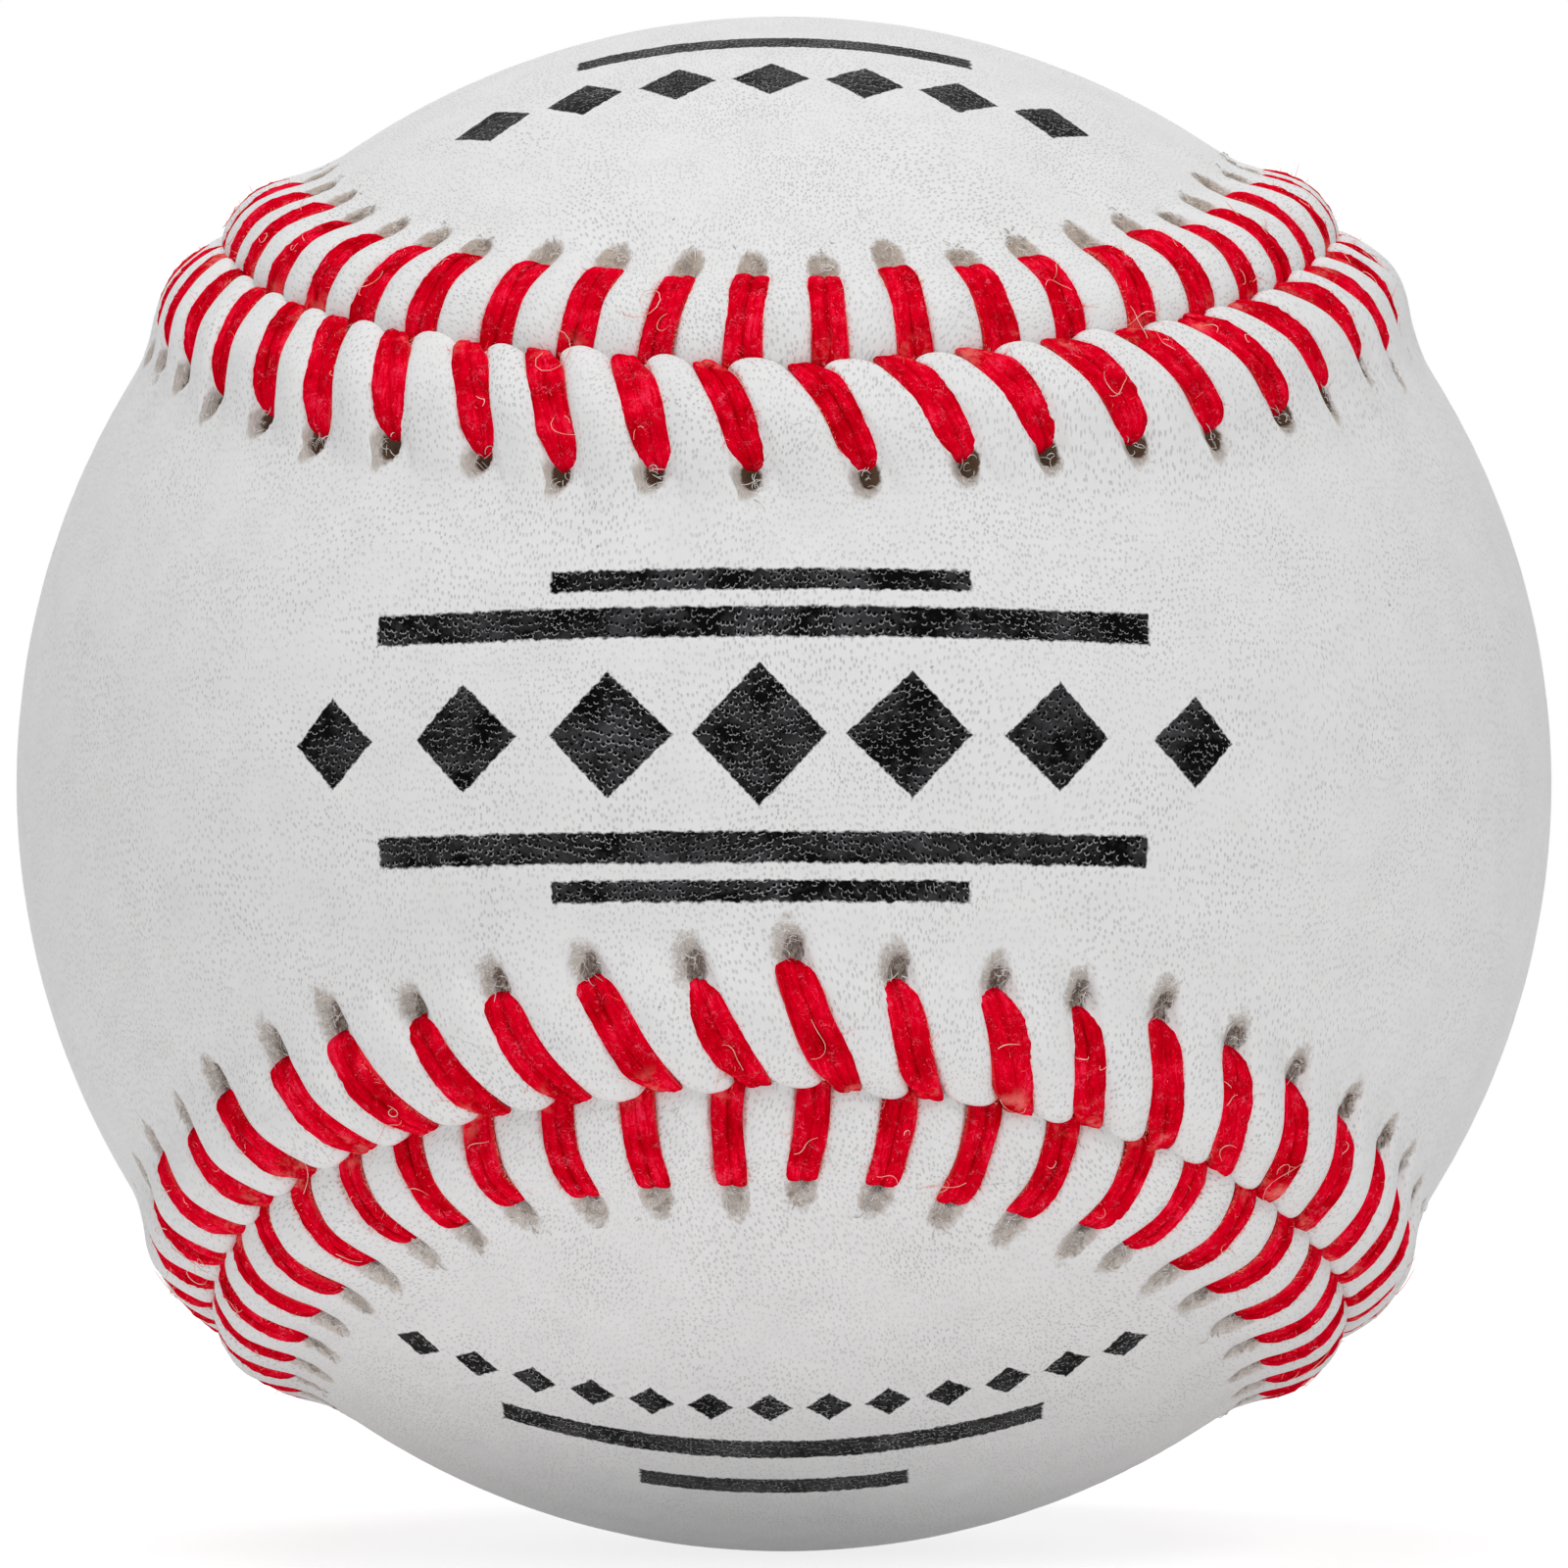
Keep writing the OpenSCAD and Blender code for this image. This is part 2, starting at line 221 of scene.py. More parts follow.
steps = np.linalg.norm(np.diff(seam_direction(u_table), axis=0), axis=1)
length_table = np.concatenate([[0], np.cumsum(steps)]) * ball_r
seam_len = length_table[-1]
pitch = seam_len / stitches


def at(s, n, h):
    """A point s mm along the seam, n mm across it (panel A above 0) and h mm over the ball."""
    s, n, h = np.broadcast_arrays(s, n, h)
    u = np.interp(s % seam_len, length_table, u_table)
    x = seam_direction(u)
    t = unit(seam_direction(u + 5e-4) - seam_direction(u - 5e-4))
    m = np.cross(x, t)
    a = (n / ball_r)[..., None]
    return (ball_r + h)[..., None] * (np.cos(a) * x + np.sin(a) * m)


hand = np.random.default_rng(108)
number = np.arange(stitches)
first_knee, slow_drift, wander_spread = 1.57, 0.68, 0.11
usual_lead = {1: 1.0, -1: 0.0}      # panel A's legs start this much further along the seam
usual_lean = {1: 2.1, -1: 0.15}     # and drift back along it by this much on the way out
usual_reach = {1: 4.52, -1: 4.85}   # to their holes, this far from the seam
hand_spread = 0.16
usual_curl, upper_curl = 0.08, 0.03
knee = {}
lean = {}
reach = {}
curl = {}
for side in (1, -1):
    wander = wander_spread * hand.standard_normal(stitches)
    drift = slow_drift * np.cos(2 * math.pi * number / stitches)
    knee[side] = first_knee + number * pitch - drift + usual_lead[side] + wander
    lean[side] = usual_lean[side] + hand_spread * hand.standard_normal(stitches)
    reach[side] = usual_reach[side] + hand_spread * hand.standard_normal(stitches)
    # Legs curl more on the ball's upper run than on its lower one
    curl[side] = usual_curl + upper_curl * np.sign(at(knee[side], 0.0, 0.0)[:, 2])
lean_ends_n = 5.0       # a leg has its whole lean this far from the seam


def leg_line(side, i, n):
    """Place along the seam of leg i's middle line, n mm out from the seam on its own side."""
    i = np.asarray(i)
    part = np.clip(n / lean_ends_n, -0.3, 1.15)
    k = i % stitches
    bow = part + curl[side][k] * np.sin(math.pi * np.clip(part, 0, 1))
    return knee[side][k] + seam_len * (i // stitches) - lean[side][k] * bow


# Leather cover panels

# Two figure-eight panels of white alum-tanned cowhide, 1.2 mm thick. The
# laced thread draws the edges into a row of rounded pillows; panel A's lip
# laps flush over panel B's, and each leg comes out of a punched needle hole.
def curve_through(xs, ys, soft=0.25):
    """A smooth curve close to the given points."""
    fine = np.linspace(xs[0] - 1, xs[-1] + 1, 2001)
    step = fine[1] - fine[0]
    bell = np.exp(-0.5 * (np.arange(-300, 301) * step / soft) ** 2)
    padded = np.pad(np.interp(fine, xs, ys), 300, mode="edge")
    values = np.convolve(padded, bell / bell.sum(), mode="valid")
    return lambda x: np.interp(x, fine, values)


# Over distance from the seam: the pillows' height, and how far they are pinched down beside a leg
crest = {1: curve_through([-0.5, 0.0, 0.5, 1.2, 2.2, 3.0, 4.0, 5.0, 6.0, 7.0, 8.5],
                          [0.78, 0.98, 1.13, 1.31, 1.43, 1.37, 1.03, 0.54, 0.17, 0.03, 0.0]),
         -1: curve_through([-0.5, -0.1, 0.3, 0.6, 0.9, 1.3, 2.2, 3.0, 4.0, 5.0, 6.0, 7.0, 8.5],
                           [0.0, 0.28, 0.68, 0.93, 1.08, 1.22, 1.41, 1.35, 1.01, 0.52, 0.16, 0.03, 0.0],
                           0.13)}
pinch = curve_through([-0.4, 0.0, 0.6, 1.2, 2.2, 4.0, 5.0, 6.4, 7.2],
                      [0.50, 0.50, 0.46, 0.38, 0.31, 0.36, 0.34, 0.06, 0.0])
thread_half = 0.76      # half of a leg's width where it lies on the leather
# Columns of corners from one leg to the next, as parts of the pitch: first the strap under the leg
strap_f = [-0.19, -0.13, -0.065, 0.0, 0.065, 0.13, 0.19]
pillow_f = [0.212, 0.235, 0.268, 0.31, 0.36, 0.415, 0.472, 0.528, 0.585, 0.64, 0.69, 0.732, 0.765, 0.788]
columns_f = np.array(strap_f + pillow_f)
per_stitch = len(columns_f)
hole_length = {1: 1.45, -1: 1.70}
hole_depth = {1: 0.45, -1: 0.18}
# In a hole's own measures: its middle past the leg's end, and the half sizes of its tear and its slot
hole_middle, torn_half, core_half = 0.38, (0.66, 0.62), (0.60, 0.42)
tongue_spread, swell_spread, length_spread, aside_spread = 0.18, 0.08, 0.13, 0.09
strap_depth, torn_depth, torn_rim = 0.22, 0.10, 0.05
hem_drop = 0.012        # the last rows come down to the plain hide
# The rolled lip: how far in from the edge each row lies, and how far below the crest
lip = [(1.4, 1.3), (0.5, 1.1), (0.1, 0.82), (0.0, 0.5), (0.03, 0.25), (0.12, 0.09), (0.27, 0.02)]
rows_n = np.concatenate([[a for a, b in lip], np.arange(0.45, 4.2, 0.27), np.arange(4.25, 6.9, 0.2),
                         [7.15, 7.45]])
rows_drop = np.array([b for a, b in lip] + [0.0] * (len(rows_n) - len(lip)))


def smooth_step(x, low, high):
    t = np.clip((x - low) / (high - low), 0, 1)
    return t * t * (3 - 2 * t)


def zip_rows(a, b):
    """Triangles between two open rows of corners that share their ends' directions."""
    faces = []
    i = j = 0
    while i < len(a) - 1 or j < len(b) - 1:
        next_a = (i + 1) / (len(a) - 1) if i < len(a) - 1 else 2.0
        next_b = (j + 1) / (len(b) - 1) if j < len(b) - 1 else 2.0
        if next_a <= next_b:
            corners = (a[i], a[i + 1], b[j])
            i += 1
        else:
            corners = (a[i], b[j + 1], b[j])
            j += 1
        if len(set(corners)) == 3:
            faces.append(corners)
    return faces


whole_turn = 6.28


def ripples(points):
    """Soft dimples, 2 to 5 mm across."""
    rng = np.random.default_rng(3)
    waves, wave_h = 14, 0.011
    total = 0
    for _ in range(waves):
        wave = unit(rng.standard_normal(3)) * 2 * math.pi / rng.uniform(1.8, 5.0)
        total = total + wave_h * np.sin(points @ wave + rng.uniform(0, whole_turn))
    return total


plain_rings = ((7, 7.9), (2, 8.6))      # columns to a stitch and distance from the seam
hem_n = plain_rings[-1][1]
axis_half_deg = 136     # a panel's middle line spans twice this round the ball
rung_cells = 44
far_from_hole = 3.0


def build_panel(side):
    rng = np.random.default_rng(20 + side)
    columns = stitches * per_stitch
    i = np.repeat(number, per_stitch)[None, :]
    f = np.tile(columns_f, stitches)[None, :]
    left = (f < 0)
    n_grid = rows_n[:, None]

    # Distance along the seam from the nearest leg's middle line
    dist = np.minimum(np.abs(f), 1 - f) * pitch
    tongue_half = 0.35
    t_lip = np.clip((dist - tongue_half) / (pitch / 2 - tongue_half), 0, 1)
    tongue = 1 + tongue_spread * rng.standard_normal(stitches)[i]
    if side > 0:
        edge = -0.44 * tongue + 0.78 * (1 - t_lip) ** 2.3
    else:
        edge = -0.35 + 0.20 * (1 - t_lip) ** 3.0
    n = n_grid + edge * np.clip(1 - n_grid / 3.0, 0, 1)

    here = leg_line(side, i, n)
    there = np.where(left, leg_line(side, i + stitches - 1, n) - seam_len, leg_line(side, i + 1, n))
    s = np.where(left, here + f * (here - there), here + f * (there - here))

    t = np.clip((dist - thread_half) / (pitch / 2 - thread_half), 0, 1)
    shoulder = 1 - np.sqrt(np.clip(1 - (1 - t) ** 2, 0, 1))
    swell = 1 + swell_spread * rng.standard_normal(stitches)[i] * t
    body = np.maximum(n, edge)
    h = crest[side](body) * swell - pinch(body) * shoulder
    # The strap of leather under a leg is drawn down by the thread
    under = np.clip(1 - (dist / thread_half) ** 2, 0, 1) * smooth_step(body, -0.4, 0.8)
    under = under * (1 - smooth_step(body, 4.6, 5.3))
    h = h - strap_depth * under
    # The needle hole, drawn out along the leg; its place goes to the leather's material too
    nearest = (i + (f > 0.5)) % stitches
    # 1 on the ball's upper run and -1 on its lower one
    upward = np.sign(at(knee[side], 0.0, 0.0)[:, 2])[nearest]
    uneven = length_spread * rng.standard_normal(stitches)[nearest]
    length = hole_length[side] * (1 - 0.08 * upward + uneven)
    past = (n - reach[side][nearest]) / length
    off = s - leg_line(side, i + (f > 0.5), np.minimum(n, reach[side][nearest]))
    torn = np.hypot((past - hole_middle) / torn_half[0], off / torn_half[1])
    core = np.hypot((past - hole_middle) / core_half[0], off / core_half[1])
    h = h - torn_depth * (1 - smooth_step(torn, 0.5, 1.1))
    h = h - hole_depth[side] * (1 - smooth_step(core, 0.3, 1.1))
    h = h + torn_rim * np.exp(-((torn - 1.30) / 0.25) ** 2)
    aside = -off * upward + aside_spread * rng.standard_normal(stitches)[nearest]
    h = h - rows_drop[:, None] - hem_drop * (n_grid > 6.8)
    # Slack in the drawn-up hide
    slack = ripples(at(s, side * n, 0 * n)) * np.clip(t * 3, 0.2, 1) * smooth_step(n_grid, 0.2, 1.0)
    h = h + slack * (1 - smooth_step(n_grid, 5.5, 7.2))

    corners = [at(s, side * n, h).reshape(-1, 3)]
    holes = [np.stack([past, aside + 0 * n, dist + 0 * n], -1).reshape(-1, 3)]
    rows = len(rows_n)
    index = np.arange(rows * columns).reshape(rows, columns)
    a, b = index[:-1], index[1:]
    quads = np.stack([a, np.roll(a, -1, 1), np.roll(b, -1, 1), b], -1).reshape(-1, 4)
    faces = quads.tolist()

    # Two rings of fewer columns lead from the sewn edge to the plain hide
    total = rows * columns
    last = index[-1].tolist()
    for per, n_ring in plain_rings:
        count = stitches * per
        ring_i = np.repeat(number, per)
        ring_f = np.tile(np.arange(per) / per, stitches)
        nn = np.full(count, n_ring)
        here = leg_line(side, ring_i, nn)
        there = leg_line(side, ring_i + 1, nn)
        corners.append(at(here + ring_f * (there - here), side * nn, np.zeros(count)))
        holes.append(np.full((count, 3), far_from_hole))
        ring = list(range(total, total + count))
        total += count
        step = len(last) / count
        shift = 3 if per == 7 else 0        # the columns start beside a leg's middle line
        for k in range(count):
            lo, hi = int(round(k * step)) + shift, int(round((k + 1) * step)) + shift
            outer = [last[m % len(last)] for m in range(lo, hi + 1)]
            faces += zip_rows(outer, [ring[k], ring[(k + 1) % count]])
        last = ring

    # Rungs across the panel, as the hide lies plain on the ball
    count = len(last)
    hem = unit(corners[-1])
    half = pitch / 2
    first = leg_line(side, 0, hem_n)
    rung_sum = int(round((count / 2 if side > 0 else 0) - 2 * float(first) / half))
    gap = 10 - rung_sum % 2
    rungs = count // 2 - gap + 1
    r = np.arange(rungs)
    left_i = (rung_sum + gap) // 2 + r
    right_i = (rung_sum - gap) // 2 - r
    pa, pb = hem[left_i % count], hem[right_i % count]
    angle = np.radians(axis_half_deg * (1 - 2 * r / (rungs - 1)))
    zero = np.zeros(rungs)
    if side > 0:
        middle = np.stack([-np.sin(angle), -np.cos(angle), zero], -1)
    else:
        middle = np.stack([zero, np.cos(angle), np.sin(angle)], -1)
    q = 2 * middle - (pa + pb) / 2
    k = (np.arange(1, rung_cells) / rung_cells)[None, :, None]
    inside = unit((1 - k) ** 2 * pa[:, None] + 2 * k * (1 - k) * q[:, None] + k ** 2 * pb[:, None])
    corners.append((ball_r * inside).reshape(-1, 3))
    holes.append(np.full((rungs * (rung_cells - 1), 3), far_from_hole))
    ladder = np.empty((rungs, rung_cells + 1), int)
    ring = np.array(last)
    ladder[:, 0] = ring[left_i % count]
    ladder[:, -1] = ring[right_i % count]
    ladder[:, 1:-1] = total + np.arange(rungs * (rung_cells - 1)).reshape(rungs, -1)
    a, b = ladder[:-1], ladder[1:]
    faces += np.stack([a[:, :-1], b[:, :-1], b[:, 1:], a[:, 1:]], -1).reshape(-1, 4).tolist()
    tip_0 = [last[m % count] for m in range(left_i[0], right_i[0] - 1, -1)]
    tip_1 = [last[m % count] for m in range(left_i[-1], right_i[-1] + count + 1)]
    faces += zip_rows(ladder[0].tolist(), tip_0)
    faces += zip_rows(tip_1, ladder[-1].tolist())
    corners = np.concatenate(corners)
    if side > 0:
        faces = [face[::-1] for face in faces]
    return corners, faces, np.concatenate(holes)


def new_piece(name, corners_mm, faces, material, values=None):
    mesh = bpy.data.meshes.new(name)
    mesh.from_pydata((np.asarray(corners_mm) / 1000).tolist(), [], faces)
    mesh.polygons.foreach_set("use_smooth", [True] * len(mesh.polygons))
    for key, data in (values or {}).items():
        data = np.asarray(data, dtype=np.float32)
        kind = "FLOAT" if data.ndim == 1 else "FLOAT_VECTOR"
        field = mesh.attributes.new(key, kind, "POINT")
        field.data.foreach_set("value" if data.ndim == 1 else "vector", data.ravel())
    mesh.validate()
    obj = bpy.data.objects.new(name, mesh)
    bpy.context.scene.collection.objects.link(obj)
    mesh.materials.append(material)
    return obj


def hide_pores(tree, mm, side):
    """Pores about 0.22 mm apart in wavy rows 0.42 mm apart; each is a tick of about 0.09 by 0.18 mm."""
    sway_mm, sway_reach_mm = 9.0, 3.2
    tick_half_wide, tick_half_long = 0.043, 0.088
    long_axis = 2 if side > 0 else 1
    cell_mm = (0.22, 0.35, 0.42) if side > 0 else (0.22, 0.42, 0.35)
    sway = add(tree, "TexNoise", {"Vector": mm, "Scale": 1 / sway_mm, "Detail": 0.0})
    sway = add(tree, "VectorMath", {0: sway.outputs["Color"], "Scale": sway_reach_mm}, operation="SCALE")
    bent = add(tree, "VectorMath", (mm, sway), operation="ADD")
    cells = add(tree, "VectorMath", (bent, cell_mm), operation="DIVIDE")
    pores = add(tree, "TexVoronoi", {"Vector": cells, "Scale": 1.0, "Randomness": 0.8})
    centre = add(tree, "VectorMath", (pores.outputs["Position"], cell_mm), operation="MULTIPLY")
    away = add(tree, "VectorMath", (bent, centre), operation="SUBTRACT")
    up = add(tree, "VectorMath", (mm,), operation="NORMALIZE")
    grain = add(tree, "CombineXYZ", {long_axis: 1.0})

    def on_surface(v):
        depth = add(tree, "VectorMath", (v, up), operation="DOT_PRODUCT")
        part = add(tree, "VectorMath", {0: up, "Scale": depth}, operation="SCALE")
        return add(tree, "VectorMath", (v, part), operation="SUBTRACT")

    flat = on_surface(away)
    lengthwise = add(tree, "VectorMath", (on_surface(grain),), operation="NORMALIZE")
    run = add(tree, "VectorMath", (flat, lengthwise), operation="DOT_PRODUCT")
    whole_2 = add(tree, "VectorMath", (flat, flat), operation="DOT_PRODUCT")
    run_2 = add(tree, "Math", (run, run), operation="MULTIPLY")
    wide_2 = add(tree, "Math", (whole_2, run_2), operation="SUBTRACT")
    wide_part = add(tree, "Math", (wide_2, tick_half_wide ** 2), operation="DIVIDE")
    run_part = add(tree, "Math", (run_2, tick_half_long ** 2), operation="DIVIDE")
    far_tick = add(tree, "Math", (add(tree, "Math", (wide_part, run_part), operation="ADD"),),
                   operation="SQRT")
    tick = add(tree, "MapRange", (far_tick, 0.55, 1.1, 1.0, 0.0))
    thick_mm = 3.5
    thick = add(tree, "TexNoise", {"Vector": mm, "Scale": 1 / thick_mm, "Detail": 2.0})
    strength = add(tree, "MapRange", (thick, 0.35, 0.65, 0.45, 1.0))
    return (bent, pores, flat, whole_2, strength,
            add(tree, "Math", (tick, strength), operation="MULTIPLY"))


def painted_crease_shade(tree, mm, near, colour):
    """Painted shade along hairline crease lines where the hide is drawn up at the seam, a few in every 10
    mm: grey lines in the colour, with no relief.
    """
    shake_mm, crease_mm, group_mm = 1.6, 2.6, 3.0
    shaken = add(tree, "TexNoise", {"Vector": mm, "Scale": 1 / shake_mm, "Detail": 3.0})
    shaken = add(tree, "VectorMath", (shaken.outputs["Color"], mm), operation="ADD")
    crease_lines = add(tree, "TexVoronoi", {"Vector": shaken, "Scale": 1 / crease_mm},
                 feature="DISTANCE_TO_EDGE")
    crease_shade_mask = add(tree, "MapRange", (crease_lines.outputs["Distance"], 0.004, 0.011, 1.0, 0.0))
    folded = add(tree, "TexNoise", {"Vector": mm, "Scale": 1 / group_mm, "Detail": 1.0})
    folded = add(tree, "MapRange", (folded, 0.56, 0.70, 0.0, 0.30))
    by_seam = add(tree, "MapRange", (near.outputs[0], 0.2, -0.6))
    crease_shade_mask = add(tree, "Math", (add(tree, "Math", (crease_shade_mask, folded), operation="MULTIPLY"), by_seam),
                operation="MULTIPLY")
    # Painted shade: the crease lines darken the colour towards grey
    return add(tree, "Mix", {"Factor": crease_shade_mask, "A": colour, "B": linear("#77726e")}, data_type="RGBA")


def print_with_wear_and_highlights(tree, mm, prints, pores, flat, whole_2, strength, colour):
    """Plain black transfer print, greyer in clouds that are partly rubbed-thin ink and partly a painted
    sheen; each pore is a black dot in a pale broken ring, a painted highlight on one rim.
    """
    ragged_mm, cloud_mm = 0.3, 2.6
    ring_mm, ring_half_mm = 0.092, 0.022
    front_y = -3.0      # the print is on the ball's front only
    x, y, z = add(tree, "SeparateXYZ", (mm,)).outputs
    rough = add(tree, "TexNoise", {"Vector": mm, "Scale": 1 / ragged_mm, "Detail": 3.0})
    rough = add(tree, "Math", (add(tree, "Math", (rough, 0.5), operation="SUBTRACT"), 0.35),
                operation="MULTIPLY")
    edge = add(tree, "Math", (prints(tree, x, y, z), rough), operation="ADD")
    edge = add(tree, "Math", (edge, add(tree, "Math", (y, front_y), operation="SUBTRACT")),
               operation="MAXIMUM")
    ink = add(tree, "MapRange", (edge, -0.05, 0.05, 1.0, 0.0))
    from_pore = add(tree, "Math", (whole_2,), operation="SQRT")
    # Painted highlight: a pale broken ring on one rim of each pore, its side set by a random turn per pore
    ring = add(tree, "Math", (from_pore, ring_mm, ring_half_mm), operation="COMPARE")
    dot = add(tree, "MapRange", (from_pore, 0.055, 0.09, 1.0, 0.0))
    turned = add(tree, "VectorMath", (pores.outputs["Color"], (0.5, 0.5, 1.0)), operation="SUBTRACT")
    lit_side = add(tree, "VectorMath", (flat, turned), operation="DOT_PRODUCT")
    lit_side = add(tree, "Math", (lit_side, 0.004), operation="GREATER_THAN")
    rim_highlight = add(tree, "Math", (add(tree, "Math", (ring, lit_side), operation="MULTIPLY"), strength),
              operation="MULTIPLY")
    # Painted sheen and wear: the ink goes grey in clouds, partly rubbed thin and partly standing for glossy
    # spots
    cloud = add(tree, "TexNoise", {"Vector": mm, "Scale": 1 / cloud_mm, "Detail": 6.0, "Roughness": 0.72})
    wear_and_sheen = add(tree, "MapRange", (cloud, 0.42, 0.66))
    wear_and_sheen = add(tree, "Math", (wear_and_sheen, add(tree, "Math", (1.0, dot), operation="SUBTRACT")),
               operation="MULTIPLY")
    ink_wear_and_sheen = add(tree, "Mix", {"Factor": wear_and_sheen, "A": linear("#000000"), "B": linear("#444446")},
               data_type="RGBA")
    rim_highlight = add(tree, "Math", (rim_highlight, 0.7), operation="MULTIPLY")
    black = add(tree, "Mix", {"Factor": rim_highlight, "A": ink_wear_and_sheen, "B": linear("#b0b0b2")}, data_type="RGBA")
    return add(tree, "Mix", {"Factor": ink, "A": colour, "B": black}, data_type="RGBA")


def needle_holes(tree, mm, near, side, hole_hex, fray_hex, colour):
    """Punched holes: a dark ragged slot, and torn grey fibres round it and beyond it."""
    ragged_mm, group_mm, curl_mm = 0.45, 4.0, 0.42
    height = add(tree, "SeparateXYZ", (mm,)).outputs["Z"]
    low_run = add(tree, "MapRange", (height, 8.0, -8.0))
    ragged = add(tree, "TexNoise",
                 {"Vector": mm, "Scale": 1 / ragged_mm, "Detail": 4.0, "Roughness": 0.65})
    swing = add(tree, "Math", (0.7, add(tree, "Math", (low_run, 0.6), operation="MULTIPLY")),
                operation="ADD")
    ragged = add(tree, "Math", (add(tree, "Math", (ragged, 0.5), operation="SUBTRACT"), swing),
                 operation="MULTIPLY")
    # Past 0.95 mm from a leg's middle line there is no hole
    elsewhere = add(tree, "Math",
                    (add(tree, "Math", (near.outputs[2], 0.95), operation="GREATER_THAN"), 9.0),
                    operation="MULTIPLY")

    def patch(past_middle, past_half, aside_middle, aside_half, low, high, most):
        """An oval in the hole's own measures: full inside low, gone outside high."""
        run_part = add(tree, "Math",
                       (add(tree, "Math", (near.outputs[0], past_middle), operation="SUBTRACT"),
                        past_half), operation="DIVIDE")
        side_part = add(tree, "Math",
                        (add(tree, "Math", (near.outputs[1], aside_middle), operation="SUBTRACT"),
                         aside_half), operation="DIVIDE")
        run_2 = add(tree, "Math", (run_part, run_part), operation="MULTIPLY")
        side_2 = add(tree, "Math", (side_part, side_part), operation="MULTIPLY")
        oval = add(tree, "Math", (add(tree, "Math", (run_2, side_2), operation="ADD"),), operation="SQRT")
        oval = add(tree, "Math", (add(tree, "Math", (oval, ragged), operation="ADD"), elsewhere),
                   operation="ADD")
        return add(tree, "MapRange", (oval, low, high, most, 0.0))

    if side > 0:
        torn = patch(0.60, 0.66, -0.18, 0.56, 0.78, 1.15, 0.80)
        core = patch(0.34, 0.50, 0.05, 0.37, 0.85, 1.1, 1.0)
        inner = 0.0
    else:
        # Panel B's holes are darker towards the bottom of the ball: there the dark slot shows in some
        # places and a darker patch lies inside the torn fibres, which are a little thinner; on the upper
        # run only the pale torn fibres show
        some = add(tree, "TexNoise", {"Vector": mm, "Scale": 1 / group_mm, "Detail": 0.0})
        some = add(tree, "Math", (add(tree, "MapRange", (some, 0.34, 0.46)), low_run),
                   operation="MULTIPLY")
        fewer = add(tree, "Math", (1.0, add(tree, "Math", (low_run, 0.30), operation="MULTIPLY")),
                    operation="SUBTRACT")
        torn = add(tree, "Math", (patch(0.38, 0.64, 0.0, 0.84, 0.82, 1.08, 0.95), fewer),
                   operation="MULTIPLY")
        core = add(tree, "Math", (patch(0.08, 0.27, 0.12, 0.38, 0.6, 1.1, 0.95), some),
                   operation="MULTIPLY")
        inner = add(tree, "Math", (patch(0.12, 0.40, 0.04, 0.56, 0.5, 1.15, 1.0), low_run),
                    operation="MULTIPLY")
        inner = add(tree, "Math", (inner, 0.8), operation="MULTIPLY")
    pulled = add(tree, "VectorMath", (mm, (9.0, 9.0, 2.5)), operation="MULTIPLY")
    fibres = add(tree, "TexNoise",
                 {"Vector": pulled, "Scale": 1.0, "Detail": 4.0, "Roughness": 0.7, "Distortion": 1.0})
    strands = add(tree, "MapRange", (fibres, 0.38, 0.62))
    pale = add(tree, "Math", (strands, 0.7), operation="MULTIPLY")
    fray = add(tree, "Mix", {"Factor": pale, "A": linear(fray_hex), "B": linear("#d8cdc2")},
               data_type="RGBA")
    fray = add(tree, "Mix", {"Factor": inner, "A": fray, "B": linear("#6a5d53")}, data_type="RGBA")
    # Single curled fibres: thin lines along the level lines of a turbulent field
    curled = add(tree, "TexNoise", {"Vector": mm, "Scale": 1 / curl_mm, "Detail": 1.0, "Distortion": 1.4})
    curled = add(tree, "Math", (add(tree, "Math", (curled, 0.5), operation="SUBTRACT"),),
                 operation="ABSOLUTE")
    curled = add(tree, "MapRange", (curled, 0.012, 0.035, 1.0, 0.0))
    share = add(tree, "Math", (0.15, add(tree, "Math", (low_run, 0.75), operation="MULTIPLY")),
                operation="ADD")
    curled = add(tree, "Math", (curled, share), operation="MULTIPLY")
    fray = add(tree, "Mix", {"Factor": curled, "A": fray, "B": linear("#ebe8e4")}, data_type="RGBA")
    colour = add(tree, "Mix", {"Factor": torn, "A": colour, "B": fray}, data_type="RGBA")
    crossed = add(tree, "Math", (add(tree, "Math", (strands, low_run), operation="MULTIPLY"), 0.75),
                  operation="MULTIPLY")
    core = add(tree, "Math", (core, add(tree, "Math", (1.0, crossed), operation="SUBTRACT")),
               operation="MULTIPLY")
    colour = add(tree, "Mix", {"Factor": core, "A": colour, "B": linear(hole_hex)}, data_type="RGBA")
    return (colour, add(tree, "Math", (fibres, torn), operation="MULTIPLY"))


